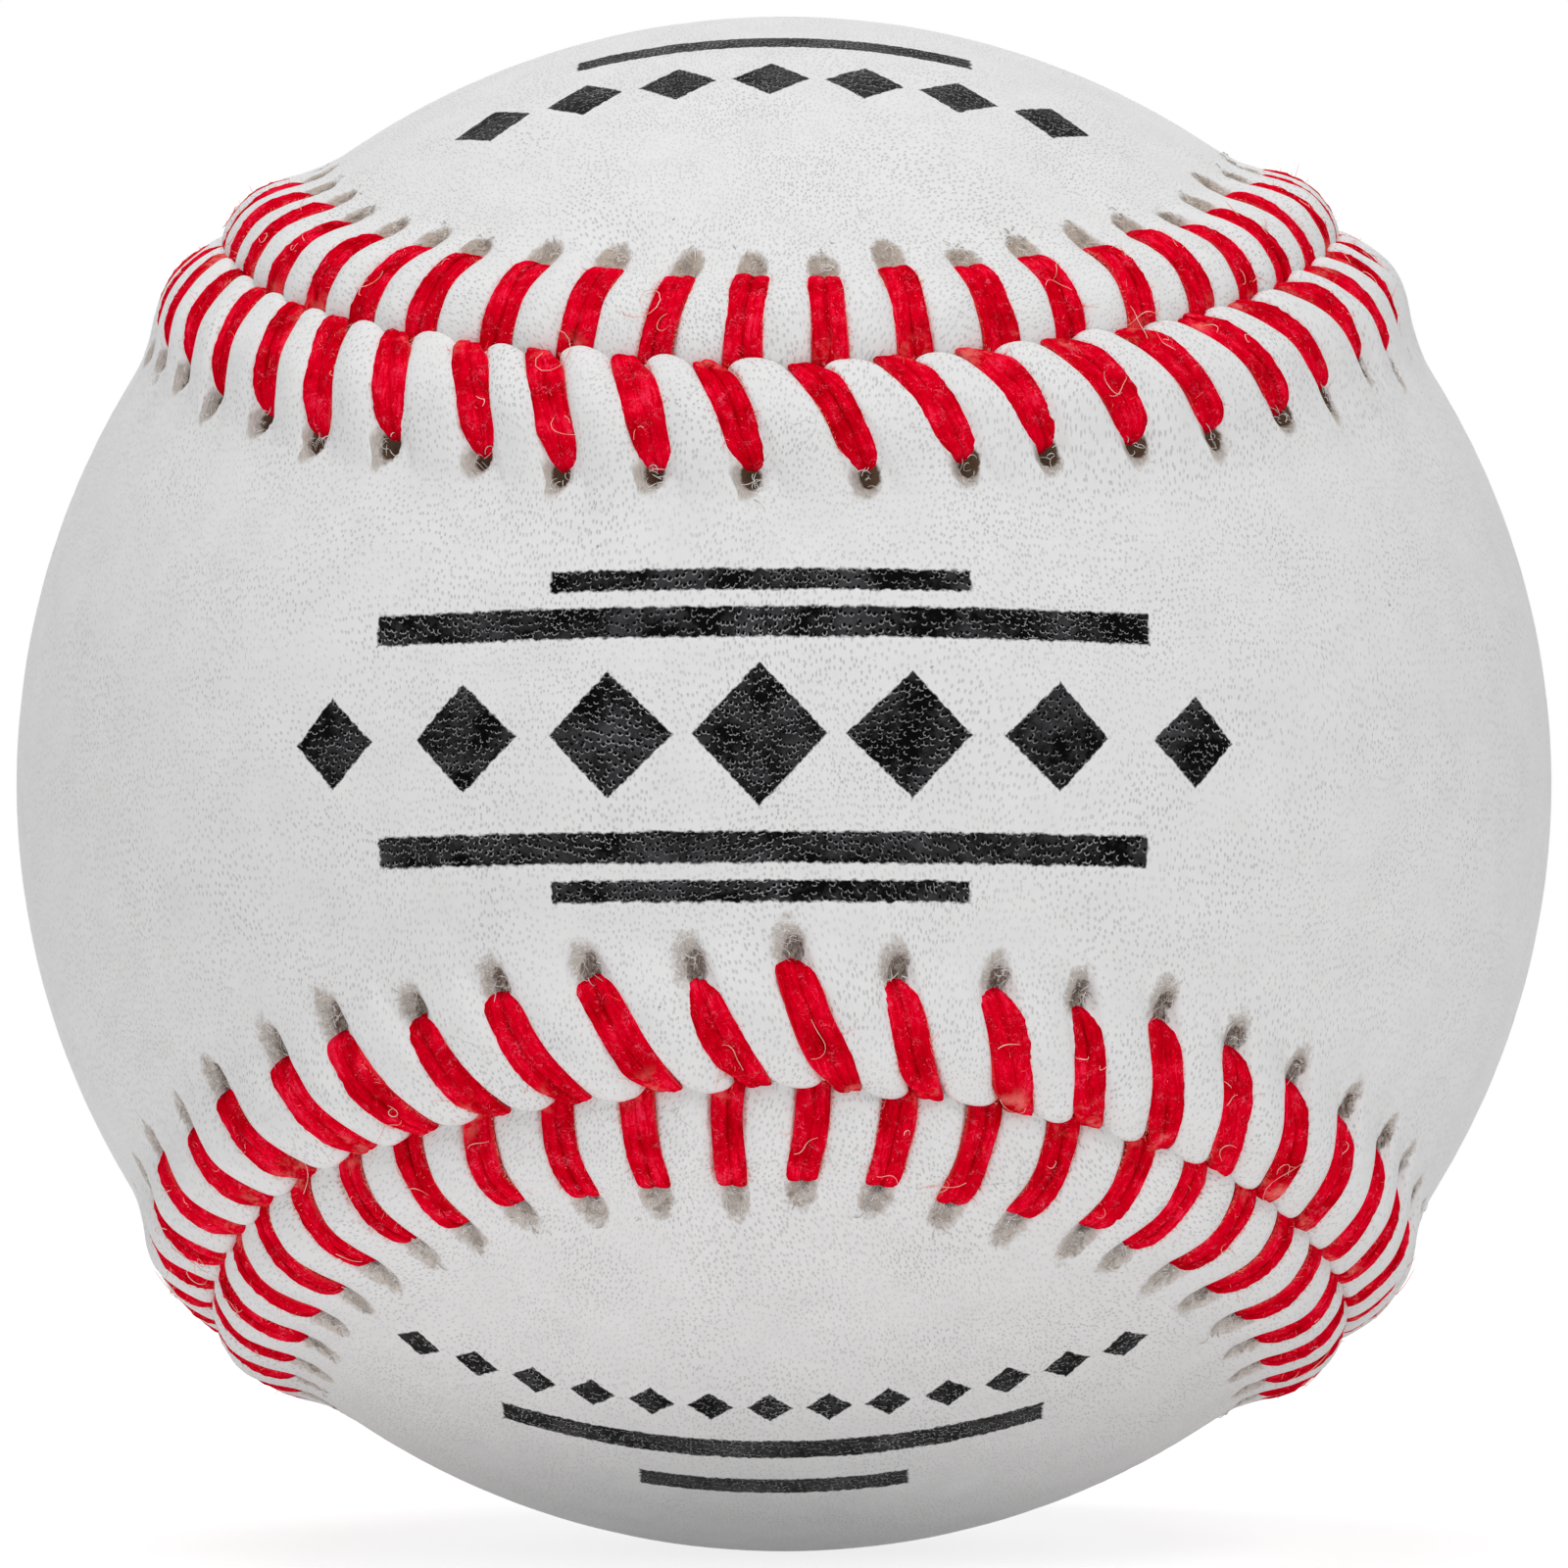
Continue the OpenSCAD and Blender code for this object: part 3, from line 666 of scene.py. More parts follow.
def white_leather(name, side, hole_hex, fray_hex, prints):
    """Full-grain alum-tanned hide: a cool white, fine pores in wavy rows, a dull sheen."""
    material, tree, shader, mm = new_material(name, 0.5, IOR=1.48, Specular_IOR_Level=0.04)
    mottle_mm, dirt_mm, wrinkle_mm = 2.2, 2.4, 1.4
    bent, pores, flat, whole_2, strength, pore = hide_pores(tree, mm, side)
    mottle = add(tree, "TexNoise",
                 {"Vector": mm, "Scale": 1 / mottle_mm, "Detail": 4.0, "Roughness": 0.6})
    tint = add(tree, "MapRange", (mottle, 0.3, 0.7, 0.965, 1.02))
    base = add(tree, "VectorMath", {0: linear("#e8e8e8")[:3], "Scale": tint}, operation="SCALE")
    colour = add(tree, "Mix",
                 {"Factor": add(tree, "Math", (pore, 0.22), operation="MULTIPLY"), "A": base,
                  "B": linear("#6d6b6a")}, data_type="RGBA")
    # A few specks of tan dirt, one in about 10 mm2
    dirt = add(tree, "TexVoronoi", {"Vector": bent, "Scale": 1 / dirt_mm, "Randomness": 1.0})
    picked = add(tree, "SeparateColor", {"Color": dirt.outputs["Color"]}).outputs["Red"]
    speck = add(tree, "Math",
                (dirt.outputs["Distance"], add(tree, "Math", (picked, 0.035), operation="MULTIPLY")),
                operation="LESS_THAN")
    speck = add(tree, "Math", (speck, 0.5), operation="MULTIPLY")
    colour = add(tree, "Mix", {"Factor": speck, "A": colour, "B": linear("#5f5650")}, data_type="RGBA")

    # How far past the nearest leg's end, how far aside of its hole, and how far from its middle line
    near = add(tree, "Attribute", attribute_name="holes").outputs["Vector"]
    near = add(tree, "SeparateXYZ", (near,))
    # Painted shade along hairline crease lines by the seam
    colour = painted_crease_shade(tree, mm, near, colour)
    # The print, with a painted sheen in its grey clouds and a painted highlight round each pore
    colour = print_with_wear_and_highlights(tree, mm, prints, pores, flat, whole_2, strength, colour)
    colour, tufted = needle_holes(tree, mm, near, side, hole_hex, fray_hex, colour)

    # Hair-fine wrinkles, drawn at 0.12 mm so that they show
    wrinkle = add(tree, "TexNoise",
                  {"Vector": mm, "Scale": 1 / wrinkle_mm, "Detail": 6.0, "Roughness": 0.7,
                   "Distortion": 1.0})
    relief = add(tree, "Math",
                 (add(tree, "Math", (wrinkle, 0.7), operation="MULTIPLY"),
                  add(tree, "Math", (pore, 0.8), operation="MULTIPLY")), operation="SUBTRACT")
    relief = add(tree, "Math", (relief, add(tree, "Math", (tufted, 2.5), operation="MULTIPLY")),
                 operation="ADD")
    surface(tree, shader, colour, relief, 0.00006, 0.8)
    return material


def box_edge(tree, a, b, half_a, half_b):
    """Distance outside a rectangle's edge, below 0 inside it."""
    return add(tree, "Math",
               (add(tree, "Math", (add(tree, "Math", (a,), operation="ABSOLUTE"), half_a),
                    operation="SUBTRACT"),
                add(tree, "Math", (add(tree, "Math", (b,), operation="ABSOLUTE"), half_b),
                    operation="SUBTRACT")), operation="MAXIMUM")


def lozenges(tree, a, b, pitch_mm, half, half_row):
    """A row of lozenges along a, every pitch_mm; half is their half size and half_row the row's."""
    cell = add(tree, "Math", (add(tree, "Math", (a, pitch_mm / 2, -pitch_mm / 2), operation="WRAP"),),
               operation="ABSOLUTE")
    shape = add(tree, "Math",
                (add(tree, "Math", (cell, add(tree, "Math", (b,), operation="ABSOLUTE")),
                     operation="ADD"), half), operation="SUBTRACT")
    return add(tree, "Math",
               (shape,
                add(tree, "Math", (add(tree, "Math", (a,), operation="ABSOLUTE"), half_row),
                    operation="SUBTRACT")), operation="MAXIMUM")


def joined(tree, shapes):
    """The distance to the nearest of several shapes."""
    nearest = shapes[0]
    for shape in shapes[1:]:
        nearest = add(tree, "Math", (nearest, shape), operation="MINIMUM")
    return nearest


def waist_print(tree, x, y, z):
    """A row of lozenges that shrink outwards, between two pairs of plain rules."""
    round_ball = add(tree, "Math", (x, add(tree, "Math", (y, -1.0), operation="MULTIPLY")),
                     operation="ARCTAN2")
    a = add(tree, "Math", (round_ball, ball_r), operation="MULTIPLY")
    b = add(tree, "Math", (add(tree, "Math", (z, 0.7), operation="ADD"),), operation="ABSOLUTE")
    half = add(tree, "Math",
               (3.0,
                add(tree, "Math", (add(tree, "Math", (a,), operation="ABSOLUTE"), 0.055),
                    operation="MULTIPLY")), operation="SUBTRACT")
    row = lozenges(tree, a, b, 6.4, half, 22.4)
    inner_rule = box_edge(tree, a, add(tree, "Math", (b, 4.7), operation="SUBTRACT"), 17.0, 0.65)
    outer_rule = box_edge(tree, a, add(tree, "Math", (b, 6.5), operation="SUBTRACT"), 9.0, 0.45)
    return joined(tree, (row, inner_rule, outer_rule))


def cap_print(tree, x, y, z):
    """Rows of lozenges between plain rules on both caps."""
    up_ball = add(tree, "Math", (z, add(tree, "Math", (y, -1.0), operation="MULTIPLY")),
                  operation="ARCTAN2")
    v = add(tree, "Math", (up_ball, ball_r), operation="MULTIPLY")
    top_row = lozenges(tree, x, add(tree, "Math", (v, 35.4), operation="SUBTRACT"), 4.2, 1.75, 14.7)
    top_rule = box_edge(tree, x, add(tree, "Math", (v, 40.4), operation="SUBTRACT"), 9.0, 0.8)
    low_row = lozenges(tree, x, add(tree, "Math", (v, 33.6), operation="ADD"), 2.6, 1.0, 16.9)
    low_rule = box_edge(tree, x, add(tree, "Math", (v, 37.0), operation="ADD"), 12.0, 0.75)
    lowest_rule = box_edge(tree, x, add(tree, "Math", (v, 40.6), operation="ADD"), 6.0, 0.75)
    return joined(tree, (top_row, top_rule, low_row, low_rule, lowest_rule))


panel_finish = {1: white_leather("alum_tanned_leather_a", 1, "#614d3e", "#b0a79f", waist_print),
                -1: white_leather("alum_tanned_leather_b", -1, "#43372f", "#c2b3a4", cap_print)}
panels = {}
for side, name in ((1, "cover_panel_a"), (-1, "cover_panel_b")):
    corners, faces, holes = build_panel(side)
    panels[side] = new_piece(name + "_leather", corners, faces, panel_finish[side], {"holes": holes})
    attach(panels[side], "root")
    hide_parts(name)


# Red stitching thread

# Two waxed cotton threads, each laid double, laced round the whole seam. Every
# leg is a flat pair of strands: panel A's end at the seam over the junction of
# two tongues, panel B's come from under panel A's lip.
# Each leg's arch: distance from the seam, and height over the ball
leg_path = {1: np.array([(-0.44, -0.60), (-0.40, -0.15), (-0.28, 0.25), (-0.02, 0.54), (0.45, 0.79),
                         (1.20, 0.99), (2.30, 1.08), (3.20, 0.97), (4.00, 0.70), (4.58, 0.42),
                         (4.92, 0.02), (5.00, -0.8)]),
            -1: np.array([(-0.25, -0.55), (-0.05, -0.15), (0.20, 0.22), (0.55, 0.54), (1.00, 0.81),
                          (1.70, 1.01), (2.60, 1.07), (3.45, 0.94), (4.20, 0.67), (4.72, 0.38),
                          (4.96, -0.05), (5.04, -0.8)])}
path_reach = 4.95       # where those arches dive; each leg is stretched to its own hole


def even_path(points, count):
    """Points at even distances along a smooth line through the given ones."""
    t = np.linspace(0, 1, len(points))
    fine = np.linspace(0, 1, 400)
    line = np.stack([curve_through(t, points[:, k], 0.035)(fine) for k in (0, 1)], -1)
    run = np.concatenate([[0], np.cumsum(np.linalg.norm(np.diff(line, axis=0), axis=1))])
    share = np.linspace(0, run[-1], count)
    return np.stack([np.interp(share, run, line[:, k]) for k in (0, 1)], -1)


rings, sides = 30, 14
ring_angle = np.linspace(0, 2 * math.pi, sides, endpoint=False)
strand_half_w, strand_half_h = 0.45, 0.25
leg_length = 7.0
strand_apart = 0.375    # from a leg's middle line to the middle of each strand
arch_spread, weave_mm, seam_shift = 0.05, 0.05, 0.15
# How far a leg's strands draw together at its hole, more on the ball's upper run, and at the seam
hole_draw = {1: 0.18, -1: 0.10}
upper_draw, draw_spread = 0.42, 0.10
seam_draw, upper_seam_draw = 0.72, 0.06
# A leg's width as a part of the usual one
usual_wide = {1: 1.07, -1: 0.88}
upper_wide, wide_spread = 0.09, 0.05
# How a strand rises and dips, swells, twists, and is rough
rise_mm, rise_spread, swelling, twisting, roughness_mm = 0.035, 0.03, 0.06, 0.25, 0.022


def leg_frame(side, i):
    """Middle line of a leg's ribbon, with its sideways and upward directions."""
    rng = np.random.default_rng(1000 * (side + 2) + i)
    path = even_path(leg_path[side], rings).copy()
    path[:, 0] += (reach[side][i] - path_reach) * smooth_step(path[:, 0], 1.5, 4.5)
    path[:, 1] += arch_spread * rng.standard_normal() * np.sin(np.linspace(0, math.pi, rings))
    n, h = path[:, 0], path[:, 1]
    s = leg_line(side, i, n)
    if side > 0:
        s = s + seam_shift * smooth_step(-n, -0.8, 0.4)
    s = s + weave_mm * np.sin(np.linspace(0, 2.5 * math.pi, rings) + rng.uniform(0, whole_turn))
    line = at(s, side * n, h)
    along = unit(np.gradient(line, axis=0))
    out = unit(line)
    across = unit(np.cross(along, out))
    up = np.cross(across, along)
    if side > 0:
        # Both ends of panel A's legs are cut off along the seam's direction, the seam end to a point
        seam_way = unit(at(s + 0.1, side * n, h) - at(s - 0.1, side * n, h))
        square = np.sum(seam_way * across, axis=1, keepdims=True)
        slant = seam_way * np.sign(square) / np.maximum(np.abs(square), 0.8)
        cut = np.maximum(smooth_step(-n, -1.6, -0.1), smooth_step(n, 3.4, 4.4))[:, None]
        across = across * (1 - cut) + slant * cut
    return line, along, across, up, n


def build_thread(parity):
    corners, faces, lay, tone, seamward = [], [], [], [], []
    total = 0
    for i in range(stitches):
        side = 1 if (i + parity) % 2 == 0 else -1
        rng = np.random.default_rng(5000 + 2 * i + parity)
        line, _, across, up, n = leg_frame(side, i)
        # The pair draws together at the hole, most on the ball's upper run, and panel A's at the seam too
        upper = smooth_step(line[rings // 2, 2] / ball_r, 0.1, 0.5)
        draw, tip, lay_wide = hole_draw[side], 0.0, usual_wide[side]
        if side > 0:
            draw = draw + upper_draw * upper + draw_spread * rng.standard_normal()
            tip = (seam_draw + upper_seam_draw * upper) * smooth_step(-n, -1.3, 0.3)
        else:
            lay_wide = lay_wide + upper_wide * upper
        draw = draw * smooth_step(n, 3.5, 4.8)
        lay_wide = lay_wide + wide_spread * rng.standard_normal()
        spread = strand_apart * lay_wide * (1 - 0.50 * draw - 0.70 * tip)
        width = strand_half_w * lay_wide * (1 - 0.34 * draw - 0.42 * tip)
        leg_tone = rng.uniform(0, 1)
        for strand in (-1, 1):
            wave = rng.uniform(0, whole_turn)
            t = np.linspace(0, 1, rings)
            lift = rise_mm * np.sin(9 * t + wave) + rise_spread * rng.standard_normal()
            centre = line + across * (strand * spread)[:, None] + up * lift[:, None]
            fat = 1 + swelling * np.sin(13 * t + wave)[:, None]
            twist = twisting * np.sin(4 * t + wave)[:, None]
            c, w = np.cos(ring_angle + twist), np.sin(ring_angle + twist)
            # A soft flattened section, a little squarer than an ellipse
            x = np.sign(c) * np.abs(c) ** 0.85 * width[:, None] * fat
            y = np.sign(w) * np.abs(w) ** 0.75 * strand_half_h * fat
            ring = centre[:, None] + across[:, None] * x[..., None] + up[:, None] * y[..., None]
            ring = ring + roughness_mm * rng.standard_normal(ring.shape[:2])[..., None] * unit(ring)
            corners.append(ring.reshape(-1, 3))
            # Where the dye's streaks run: along a leg about 7 mm long, and round the strand
            run = np.repeat(t * leg_length, sides) + 40 * leg_tone + 13 * strand
            round_strand = [np.tile(swing(ring_angle), rings) for swing in (np.cos, np.sin)]
            lay.append(np.stack([run] + round_strand, -1))
            # The tone attribute places painted shade in the furrow between a pair's strands and a painted
            # sheen on their outer edges; on panel A's legs the furrow side gets a little less shade
            across_pair = strand * np.cos(ring_angle)
            tone.append(np.tile(across_pair * np.where((across_pair < 0) & (side > 0), 0.86, 1.0), rings))
            seamward.append(np.repeat(1 - smooth_step(n, 0.3, 1.2), sides))
            index = total + np.arange(rings * sides).reshape(rings, sides)
            a, b = index[:-1], index[1:]
            faces += np.stack([a, b, np.roll(b, -1, 1), np.roll(a, -1, 1)], -1).reshape(-1, 4).tolist()
            faces += [index[0].tolist(), index[-1][::-1].tolist()]
            total += rings * sides
    values = {"lay": np.concatenate(lay), "tone": np.concatenate(tone),
              "seamward": np.concatenate(seamward)}
    return np.concatenate(corners), faces, values


def red_cotton():
    """Dyed cotton: a deep matt red with painted shade in the furrow between the strands and a painted sheen
    on their outer edges, and curly paler felt on top.
    """
    material, tree, shader, mm = new_material("dyed_red_cotton", 0.9, Specular_IOR_Level=0.0)
    lay = add(tree, "Attribute", attribute_name="lay").outputs["Vector"]
    felt_mm, broad_mm, curl_mm, group_mm, speck_mm, rubbed_mm = 0.30, 1.5, 0.34, 0.55, 0.14, 2.0
    stretch = add(tree, "VectorMath", (lay, (0.7, 2.2, 2.2)), operation="MULTIPLY")
    # Fibres are about 0.02 mm thick; the streaks are drawn at 0.15 mm and the felt at 0.04 mm to show
    streak = add(tree, "TexNoise",
                 {"Vector": stretch, "Scale": 1.2, "Detail": 5.0, "Roughness": 0.62, "Distortion": 0.8})
    felt = add(tree, "TexNoise",
               {"Vector": mm, "Scale": 1 / felt_mm, "Detail": 4.0, "Roughness": 0.65, "Distortion": 1.5})
    broad = add(tree, "TexNoise", {"Vector": mm, "Scale": 1 / broad_mm, "Detail": 2.0})
    mixed = add(tree, "Math",
                (add(tree, "Math", (streak, 0.40), operation="MULTIPLY"),
                 add(tree, "Math", (felt, 0.25), operation="MULTIPLY")), operation="ADD")
    mixed = add(tree, "Math", (mixed, add(tree, "Math", (broad, 0.35), operation="MULTIPLY")),
                operation="ADD")
    # Across a pair, -1 is the furrow between the strands, darkened by painted shade, and 1 the outer edge,
    # made paler by a painted sheen
    place = add(tree, "Attribute", attribute_name="tone").outputs["Fac"]
    groove_shade = add(tree, "MapRange", (place, -0.50, -1.0, 0.0, 0.13))
    # Painted sheen: the outer edges are mixed towards a paler red
    outer = add(tree, "MapRange", (place, 0.86, 1.0, 0.0, 0.28))
    ramp = add(tree, "ValToRGB", {"Fac": add(tree, "Math", (mixed, groove_shade), operation="SUBTRACT")})
    dyes = ramp.color_ramp.elements
    dyes[0].position, dyes[0].color = 0.34, linear("#9c0006")
    dyes[1].position, dyes[1].color = 0.64, linear("#ff2c50")
    for position, hex_colour in ((0.46, "#cc0018"), (0.55, "#ec0026")):
        dyes.new(position).color = linear(hex_colour)
    colour = add(tree, "Mix", {"Factor": outer, "A": ramp.outputs["Color"], "B": linear("#ff5c5c")},
                 data_type="RGBA")
    # Curled surface fibres: thin lines along the level lines of a turbulent field, in scattered places
    curls = add(tree, "TexNoise", {"Vector": mm, "Scale": 1 / curl_mm, "Detail": 1.5, "Distortion": 1.2})
    curls = add(tree, "Math", (add(tree, "Math", (curls, 0.5), operation="SUBTRACT"),),
                operation="ABSOLUTE")
    curls = add(tree, "MapRange", (curls, 0.012, 0.032, 1.0, 0.0))
    patchy = add(tree, "TexNoise", {"Vector": mm, "Scale": 1 / group_mm, "Detail": 3.0})
    patchy = add(tree, "MapRange", (patchy, 0.50, 0.64, 0.0, 0.62))
    curls = add(tree, "Math", (curls, patchy), operation="MULTIPLY")
    colour = add(tree, "Mix", {"Factor": curls, "A": colour, "B": linear("#ff5a78")}, data_type="RGBA")
    specks = add(tree, "TexNoise",
                 {"Vector": mm, "Scale": 1 / speck_mm, "Detail": 2.0, "Distortion": 3.0})
    pale = add(tree, "MapRange", (specks, 0.70, 0.80, 0.0, 0.75))
    colour = add(tree, "Mix", {"Factor": pale, "A": colour, "B": linear("#ff9ca0")}, data_type="RGBA")
    # At some knees by the seam the rubbed fibres stand in a pale pink puff
    by_seam = add(tree, "Attribute", attribute_name="seamward").outputs["Fac"]
    rubbed = add(tree, "TexNoise",
                 {"Vector": mm, "Scale": 1 / rubbed_mm, "Detail": 5.0, "Roughness": 0.7})
    rubbed = add(tree, "MapRange", (rubbed, 0.54, 0.70, 0.0, 0.75))
    rubbed = add(tree, "Math", (rubbed, by_seam), operation="MULTIPLY")
    colour = add(tree, "Mix", {"Factor": rubbed, "A": colour, "B": linear("#ff8c84")}, data_type="RGBA")
    relief = add(tree, "Math", (mixed, add(tree, "Math", (curls, 0.15), operation="MULTIPLY")),
                 operation="ADD")
    surface(tree, shader, colour, relief, 0.00018, 0.7)
    return material


thread_finish = red_cotton()
for parity, name in ((0, "stitch_thread_1"), (1, "stitch_thread_2")):
    corners, faces, values = build_thread(parity)
    piece = new_piece(name + "_strands", corners, faces, thread_finish, values)
    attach(piece, "root")
    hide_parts(name)


# Fuzz and loose fibres

# Short cotton fibres worn out of the strands, which soften every leg's edge,
# and a few longer curled ones lying across the leather.
shorts_per_leg, longs_per_leg = 150, 1.2
short_r, long_r = 0.015, 0.023
short_sizes, small_sizes, big_sizes = (0.05, 0.17), (0.3, 0.9), (1.0, 2.6)
short_share_at_edge, long_share_small = 0.94, 0.72
# Where the short ones stand on a leg, nearer its middle at panel A's holes
root_aside, root_up, nearer_at_hole = 0.79, 0.22, 0.16
# How high the long ones lie over a leg, and how they come down beside it
long_lift, lift_spread, fall_beside = 0.30, 0.05, 0.06


def tubes(paths, radius):
    """Thin three-sided tubes along many paths at once; paths is fibres by points by 3."""
    fibres, points, _ = paths.shape
    along = unit(np.gradient(paths, axis=1))
    first = unit(np.cross(along, unit(paths)) + 1e-9)
    second = np.cross(first, along)
    turn = np.array([0, 2.094, 4.189])      # a third of a turn apart
    ring = (np.cos(turn)[:, None] * first[..., None, :] + np.sin(turn)[:, None] * second[..., None, :])
    corners = paths[..., None, :] + ring * radius[..., None, None]
    index = np.arange(fibres * points * 3).reshape(fibres, points, 3)
    a, b = index[:, :-1], index[:, 1:]
    faces = np.stack([a, b, np.roll(b, -1, 2), np.roll(a, -1, 2)], -1).reshape(-1, 4)
    return corners.reshape(-1, 3), faces.tolist()


def build_fuzz(parity, short_count, long_count):
    rng = np.random.default_rng(77 + parity)
    shorts, longs = [], []
    along_short = np.linspace(0, 1, 3)
    along_long = np.linspace(-1, 1, 12)
    for i in range(stitches):
        side = 1 if (i + parity) % 2 == 0 else -1
        line, along, across, up, n = leg_frame(side, i)
        # Short ones leave the edges and the top, and lean along the leg
        place = rng.uniform(3, rings - 6, short_count)
        k = place.astype(int)
        at_edge = rng.random(short_count) < short_share_at_edge
        edge = rng.choice([-1, 1], short_count) * rng.uniform(0.9, 1.0, short_count)
        edge = np.where(at_edge, edge, rng.uniform(-0.8, 0.8, short_count))
        angle = np.arccos(np.clip(edge, -1, 1))
        half = root_aside - nearer_at_hole * smooth_step(n[k], 3.6, 4.7) * (side > 0)
        root = line[k] + across[k] * (half * edge)[:, None] + up[k] * (root_up * np.sin(angle))[:, None]
        away = unit(across[k] * np.cos(angle)[:, None] + up[k] * (np.sin(angle) + 0.25)[:, None])
        away = unit(away + along[k] * rng.normal(0, 0.9, short_count)[:, None])
        # A few are three times as long
        size = rng.uniform(*short_sizes, short_count) * (1 + 2.0 * (rng.random(short_count) < 0.03))
        t = along_short[None, :, None]
        bent = rng.normal(0, 0.55, (short_count, 3))[:, None] * size[:, None, None]
        shorts.append(root[:, None] + (away * size[:, None])[:, None] * t + bent * t ** 2)
        # Long ones wander over the strands and the leather beside them
        t = along_long
        for m in rng.integers(6, rings - 8, rng.poisson(long_count)):
            small = rng.random() < long_share_small
            half_long = rng.uniform(*small_sizes) if small else rng.uniform(*big_sizes)
            heading = rng.uniform(0, whole_turn)
            bend = rng.normal(0, 1.4)
            a = heading + bend * t + 0.5 * np.sin(3 * t + rng.uniform(0, whole_turn))
            dx = np.cumsum(np.cos(a)) * half_long / 6
            dy = np.cumsum(np.sin(a)) * half_long / 6
            dx, dy = dx - dx[6], dy - dy[6]
            off = rng.uniform(-0.7, 0.7)
            p = line[m] + along[m] * dx[:, None] + across[m] * (dy + off)[:, None]
            lift = long_lift + lift_spread * rng.random() + lift_spread * np.sin(4 * t + heading)
            r0 = np.linalg.norm(line[m])
            # Beside the leg a fibre comes down onto the pillow
            longs.append(unit(p) * (r0 + lift - fall_beside * np.abs(dy + off) ** 1.5)[:, None])
    shorts, longs = np.concatenate(shorts), np.array(longs)
    short_taper = np.linspace(1, 0.45, 3)
    long_taper = np.concatenate([np.linspace(0.5, 1, 6), np.linspace(1, 0.5, 6)])
    return (tubes(shorts, short_r * short_taper[None, :] * np.ones((len(shorts), 1))),
            tubes(longs, long_r * long_taper[None, :] * np.ones((len(longs), 1))))


def fibre_finish(name, hex_a, hex_b):
    """Loose cotton fibres: translucent, so they read paler than the dyed strand."""
    material, tree, shader, mm = new_material(name, 0.8, Specular_IOR_Level=0.1)
    tint_mm = 0.8
    shade = add(tree, "TexNoise", {"Vector": mm, "Scale": 1 / tint_mm, "Detail": 1.0})
    spread = add(tree, "MapRange", (shade, 0.35, 0.65))
    colour = add(tree, "Mix", {"Factor": spread, "A": linear(hex_a), "B": linear(hex_b)},
                 data_type="RGBA")
    surface(tree, shader, colour)
    return material


short_finish = fibre_finish("worn_red_fibres", "#ff5a4c", "#ffb49a")
long_finish = fibre_finish("loose_pale_fibres", "#ff9484", "#ffe2d6")
for parity, name in ((0, "stitch_thread_1"), (1, "stitch_thread_2")):
    short, long = build_fuzz(parity, shorts_per_leg, longs_per_leg)
    fibres = ((short, short_finish, "_fuzz"), (long, long_finish, "_loose_fibres"))
    for (corners, faces), finish, tail in fibres:
        piece = new_piece(name + tail, corners, faces, finish)
        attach(piece, "root")


# Torn leather fibres

# The awl and the thread pull pale raw fibres out of every needle hole; they
# curl over the hole's outer half. The eye gets a ragged grey tuft.
raw, tree, shader, mm = new_material("raw_leather_fibre", 0.85, Specular_IOR_Level=0.1)
tint_mm = 0.7
shade = add(tree, "TexNoise", {"Vector": mm, "Scale": 1 / tint_mm, "Detail": 1.0})
pick = add(tree, "MapRange", (shade, 0.4, 0.6))
tone = add(tree, "Mix", {"Factor": pick, "A": linear("#b4ada5"), "B": linear("#ebe8e4")},
           data_type="RGBA")
surface(tree, shader, tone)
fibres_per_hole = {1: 12, -1: 26}
raw_fibre_r = {1: 0.018, -1: 0.024}
tuft_spread = {1: 0.24, -1: 0.36}
raw_fibre_sizes, raw_fibre_rise = (0.25, 0.8), (0.04, 0.22)


def build_tufts(side, count):
    rng = np.random.default_rng(500 + side)
    tufts = []
    t = np.linspace(0, 1, 7)
    for i in range(stitches):
        for _ in range(count):
            n0 = reach[side][i] + rng.uniform(0.2, 1.0) * hole_length[side]
            s0 = float(leg_line(side, i, reach[side][i])) + rng.normal(0, tuft_spread[side])
            angle = rng.uniform(0, whole_turn) + rng.normal(0, 1.8) * t
            size = rng.uniform(*raw_fibre_sizes)
            s = s0 + np.cumsum(np.cos(angle)) * size / 7
            n = n0 + np.cumsum(np.sin(angle)) * size / 7
            ground = crest[side](n) - pinch(n) - torn_depth
            h = ground + rng.uniform(*raw_fibre_rise) * np.sin(math.pi * (0.15 + 0.7 * t))
            tufts.append(at(s, side * n, h))
    tufts = np.array(tufts)
    taper = np.array([0.9, 1, 1, 1, 0.9, 0.7, 0.4])
    return tubes(tufts, raw_fibre_r[side] * taper[None, :] * np.ones((len(tufts), 1)))


for side, name in ((1, "cover_panel_a"), (-1, "cover_panel_b")):
    corners, faces = build_tufts(side, fibres_per_hole[side])
    piece = new_piece(name + "_torn_fibres", corners, faces, raw)
    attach(piece, "root")


# Studio

# A plain white floor and surround, a large soft lamp high on the left, weaker
# ones high on the right and low in front, and a camera just below the ball's middle.
scene = bpy.context.scene
scene.view_settings.view_transform = "Standard"
camera_data = bpy.data.cameras.new("camera")
camera_data.lens = 122.95
camera_data.sensor_width = 36.0
camera = bpy.data.objects.new("camera", camera_data)
camera_away = 0.2587
camera.location = Vector((0.0278, -0.9967, -0.0764)) * camera_away
camera.rotation_euler = (-camera.location).to_track_quat("-Z", "Y").to_euler()
scene.collection.objects.link(camera)
scene.camera = camera


def lamp(name, place, size, power):
    data = bpy.data.lights.new(name, "AREA")
    data.shape = "DISK"
    data.size = size
    data.energy = power
    light = bpy.data.objects.new(name, data)
    light.location = place
    light.rotation_euler = (-light.location).to_track_quat("-Z", "Y").to_euler()
    scene.collection.objects.link(light)


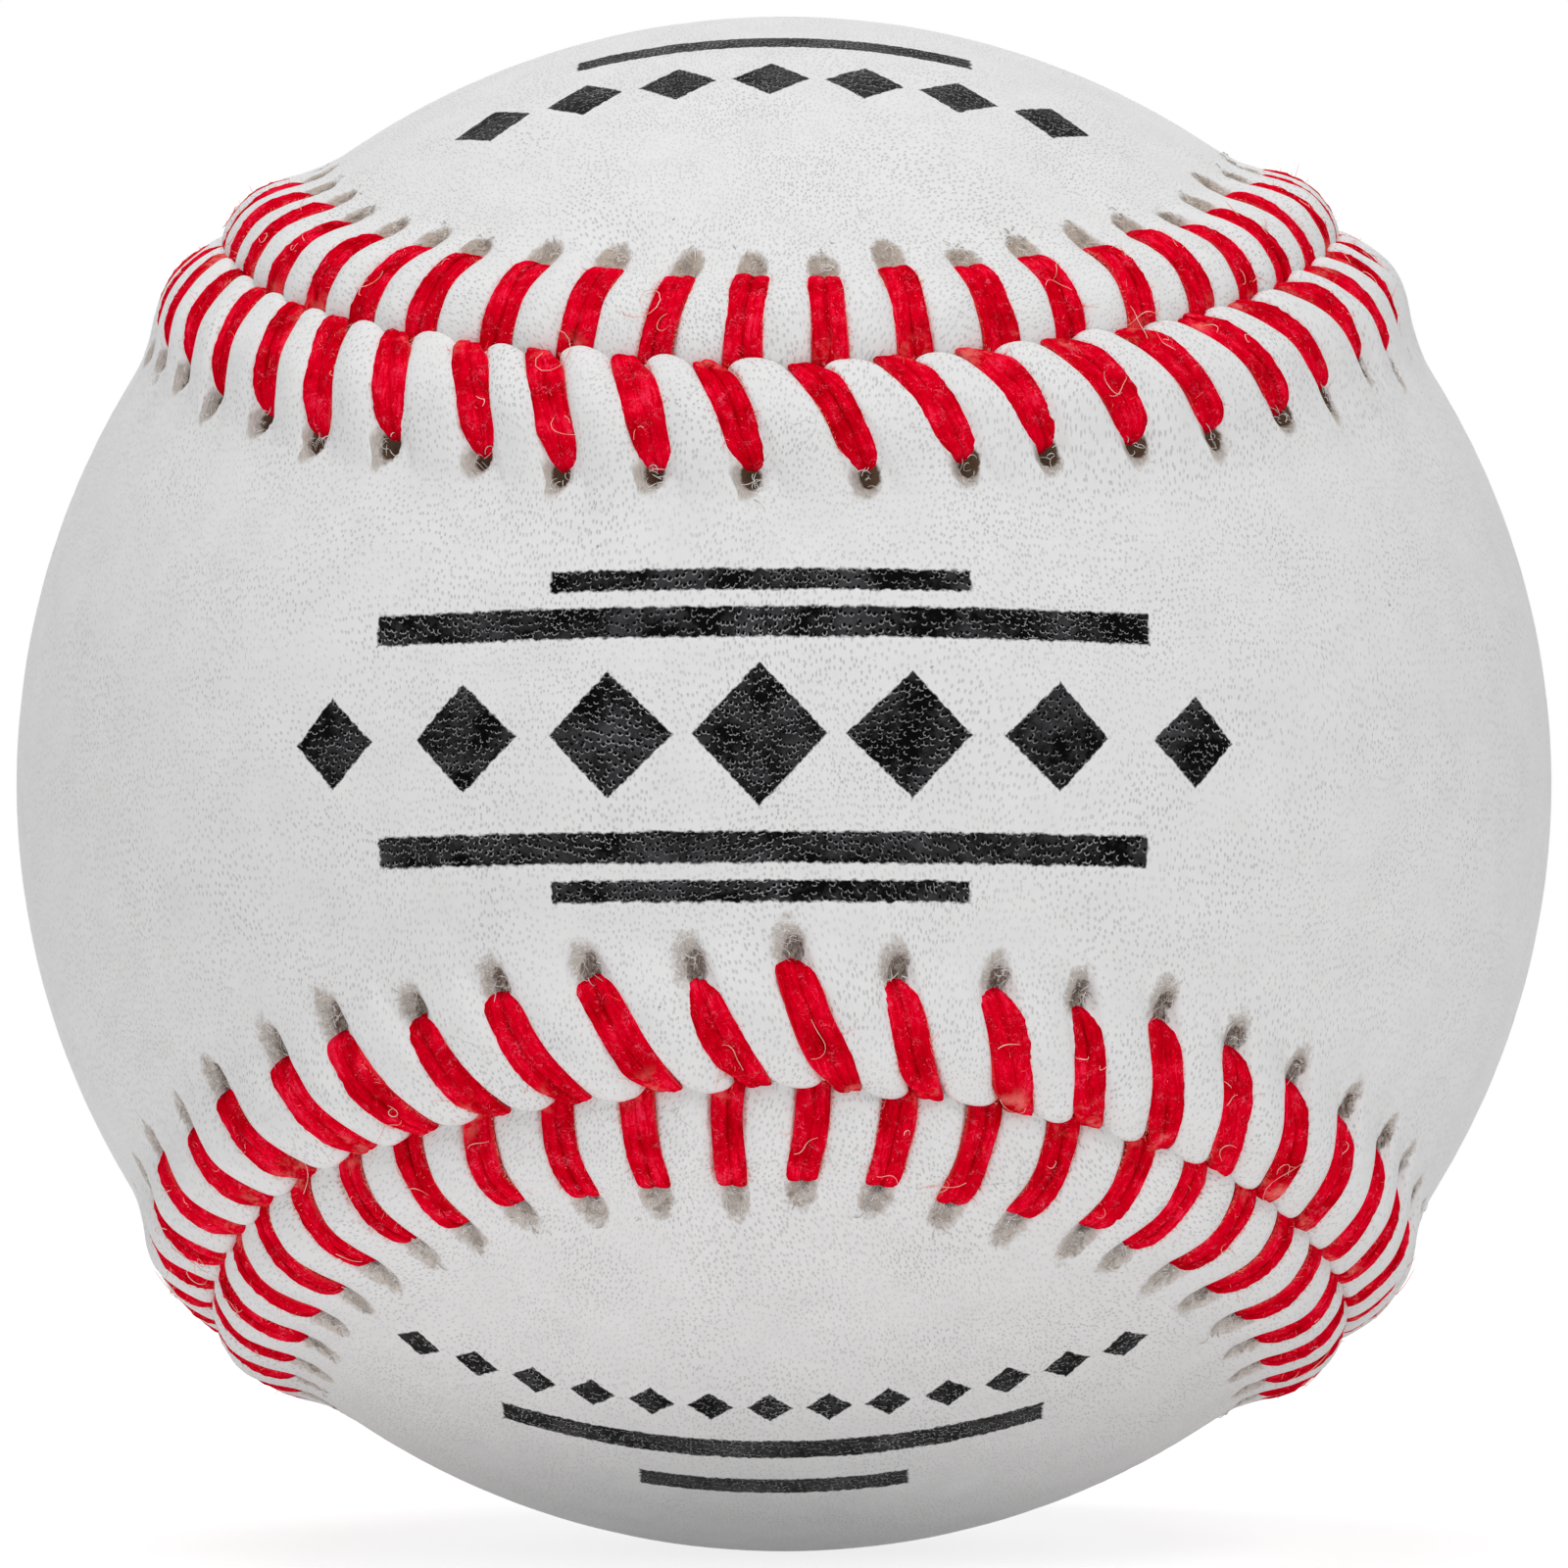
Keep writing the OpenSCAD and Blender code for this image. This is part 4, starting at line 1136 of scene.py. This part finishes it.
lamp("top_soft_left", (-0.20, -0.24, 1.16), size=0.9, power=6.9)
lamp("top_right", (0.54, -0.65, 0.85), size=0.4, power=2.8)
lamp("front_low", (-0.10, -1.20, 0.0), size=0.5, power=2.9)


def seen_directly(tree):
    """1 for what the camera sees, in a mirror or through glass too, and 0 for the light on the ball."""
    ray = add(tree, "LightPath")
    seen = add(tree, "Math", (ray.outputs["Is Camera Ray"], ray.outputs["Is Glossy Ray"]),
               operation="MAXIMUM")
    return add(tree, "Math", (seen, ray.outputs["Is Transmission Ray"]), operation="MAXIMUM")


world = bpy.data.worlds.new("white_surround")
scene.world = world
world.use_nodes = True
tree = world.node_tree
tree.nodes.clear()
seen = seen_directly(tree)
fill_strength = 0.292
fill = add(tree, "Background", {"Color": linear("#ffffff"), "Strength": fill_strength})
white = add(tree, "Background", {"Color": linear("#ffffff"), "Strength": 1.0})
both = add(tree, "MixShader", (seen, fill, white))
add(tree, "OutputWorld", {"Surface": both})

floor_mesh = bpy.data.meshes.new("floor")
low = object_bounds()[0][2]
far = 3.0
floor_mesh.from_pydata([(-far, -far, low), (far, -far, low), (far, far, low), (-far, far, low)], [],
                       [(0, 1, 2, 3)])
floor = bpy.data.objects.new("floor", floor_mesh)
scene.collection.objects.link(floor)
paper = bpy.data.materials.new("white_paper_sweep")
paper.use_nodes = True
tree = paper.node_tree
tree.nodes.clear()
seen = seen_directly(tree)
matt = add(tree, "BsdfDiffuse", {"Color": linear("#fafafa")})
away = add(tree, "VectorMath", (add(tree, "TexCoord").outputs["Object"],), operation="LENGTH")
rising = add(tree, "MapRange", (away, 0.25, 1.2, 1.02, 1.25))
glow = add(tree, "Emission", {"Color": linear("#ffffff"), "Strength": rising})
lit = add(tree, "MixShader", (0.75, matt, glow))
lit = add(tree, "AddShader", (lit, add(tree, "BsdfDiffuse", {"Color": linear("#808080")})))
soft = add(tree, "Emission", {"Color": linear("#ffffff"), "Strength": 0.10})
under = add(tree, "AddShader", (matt, soft))
both = add(tree, "MixShader", (seen, under, lit))
add(tree, "OutputMaterial", {"Surface": both})
floor_mesh.materials.append(paper)
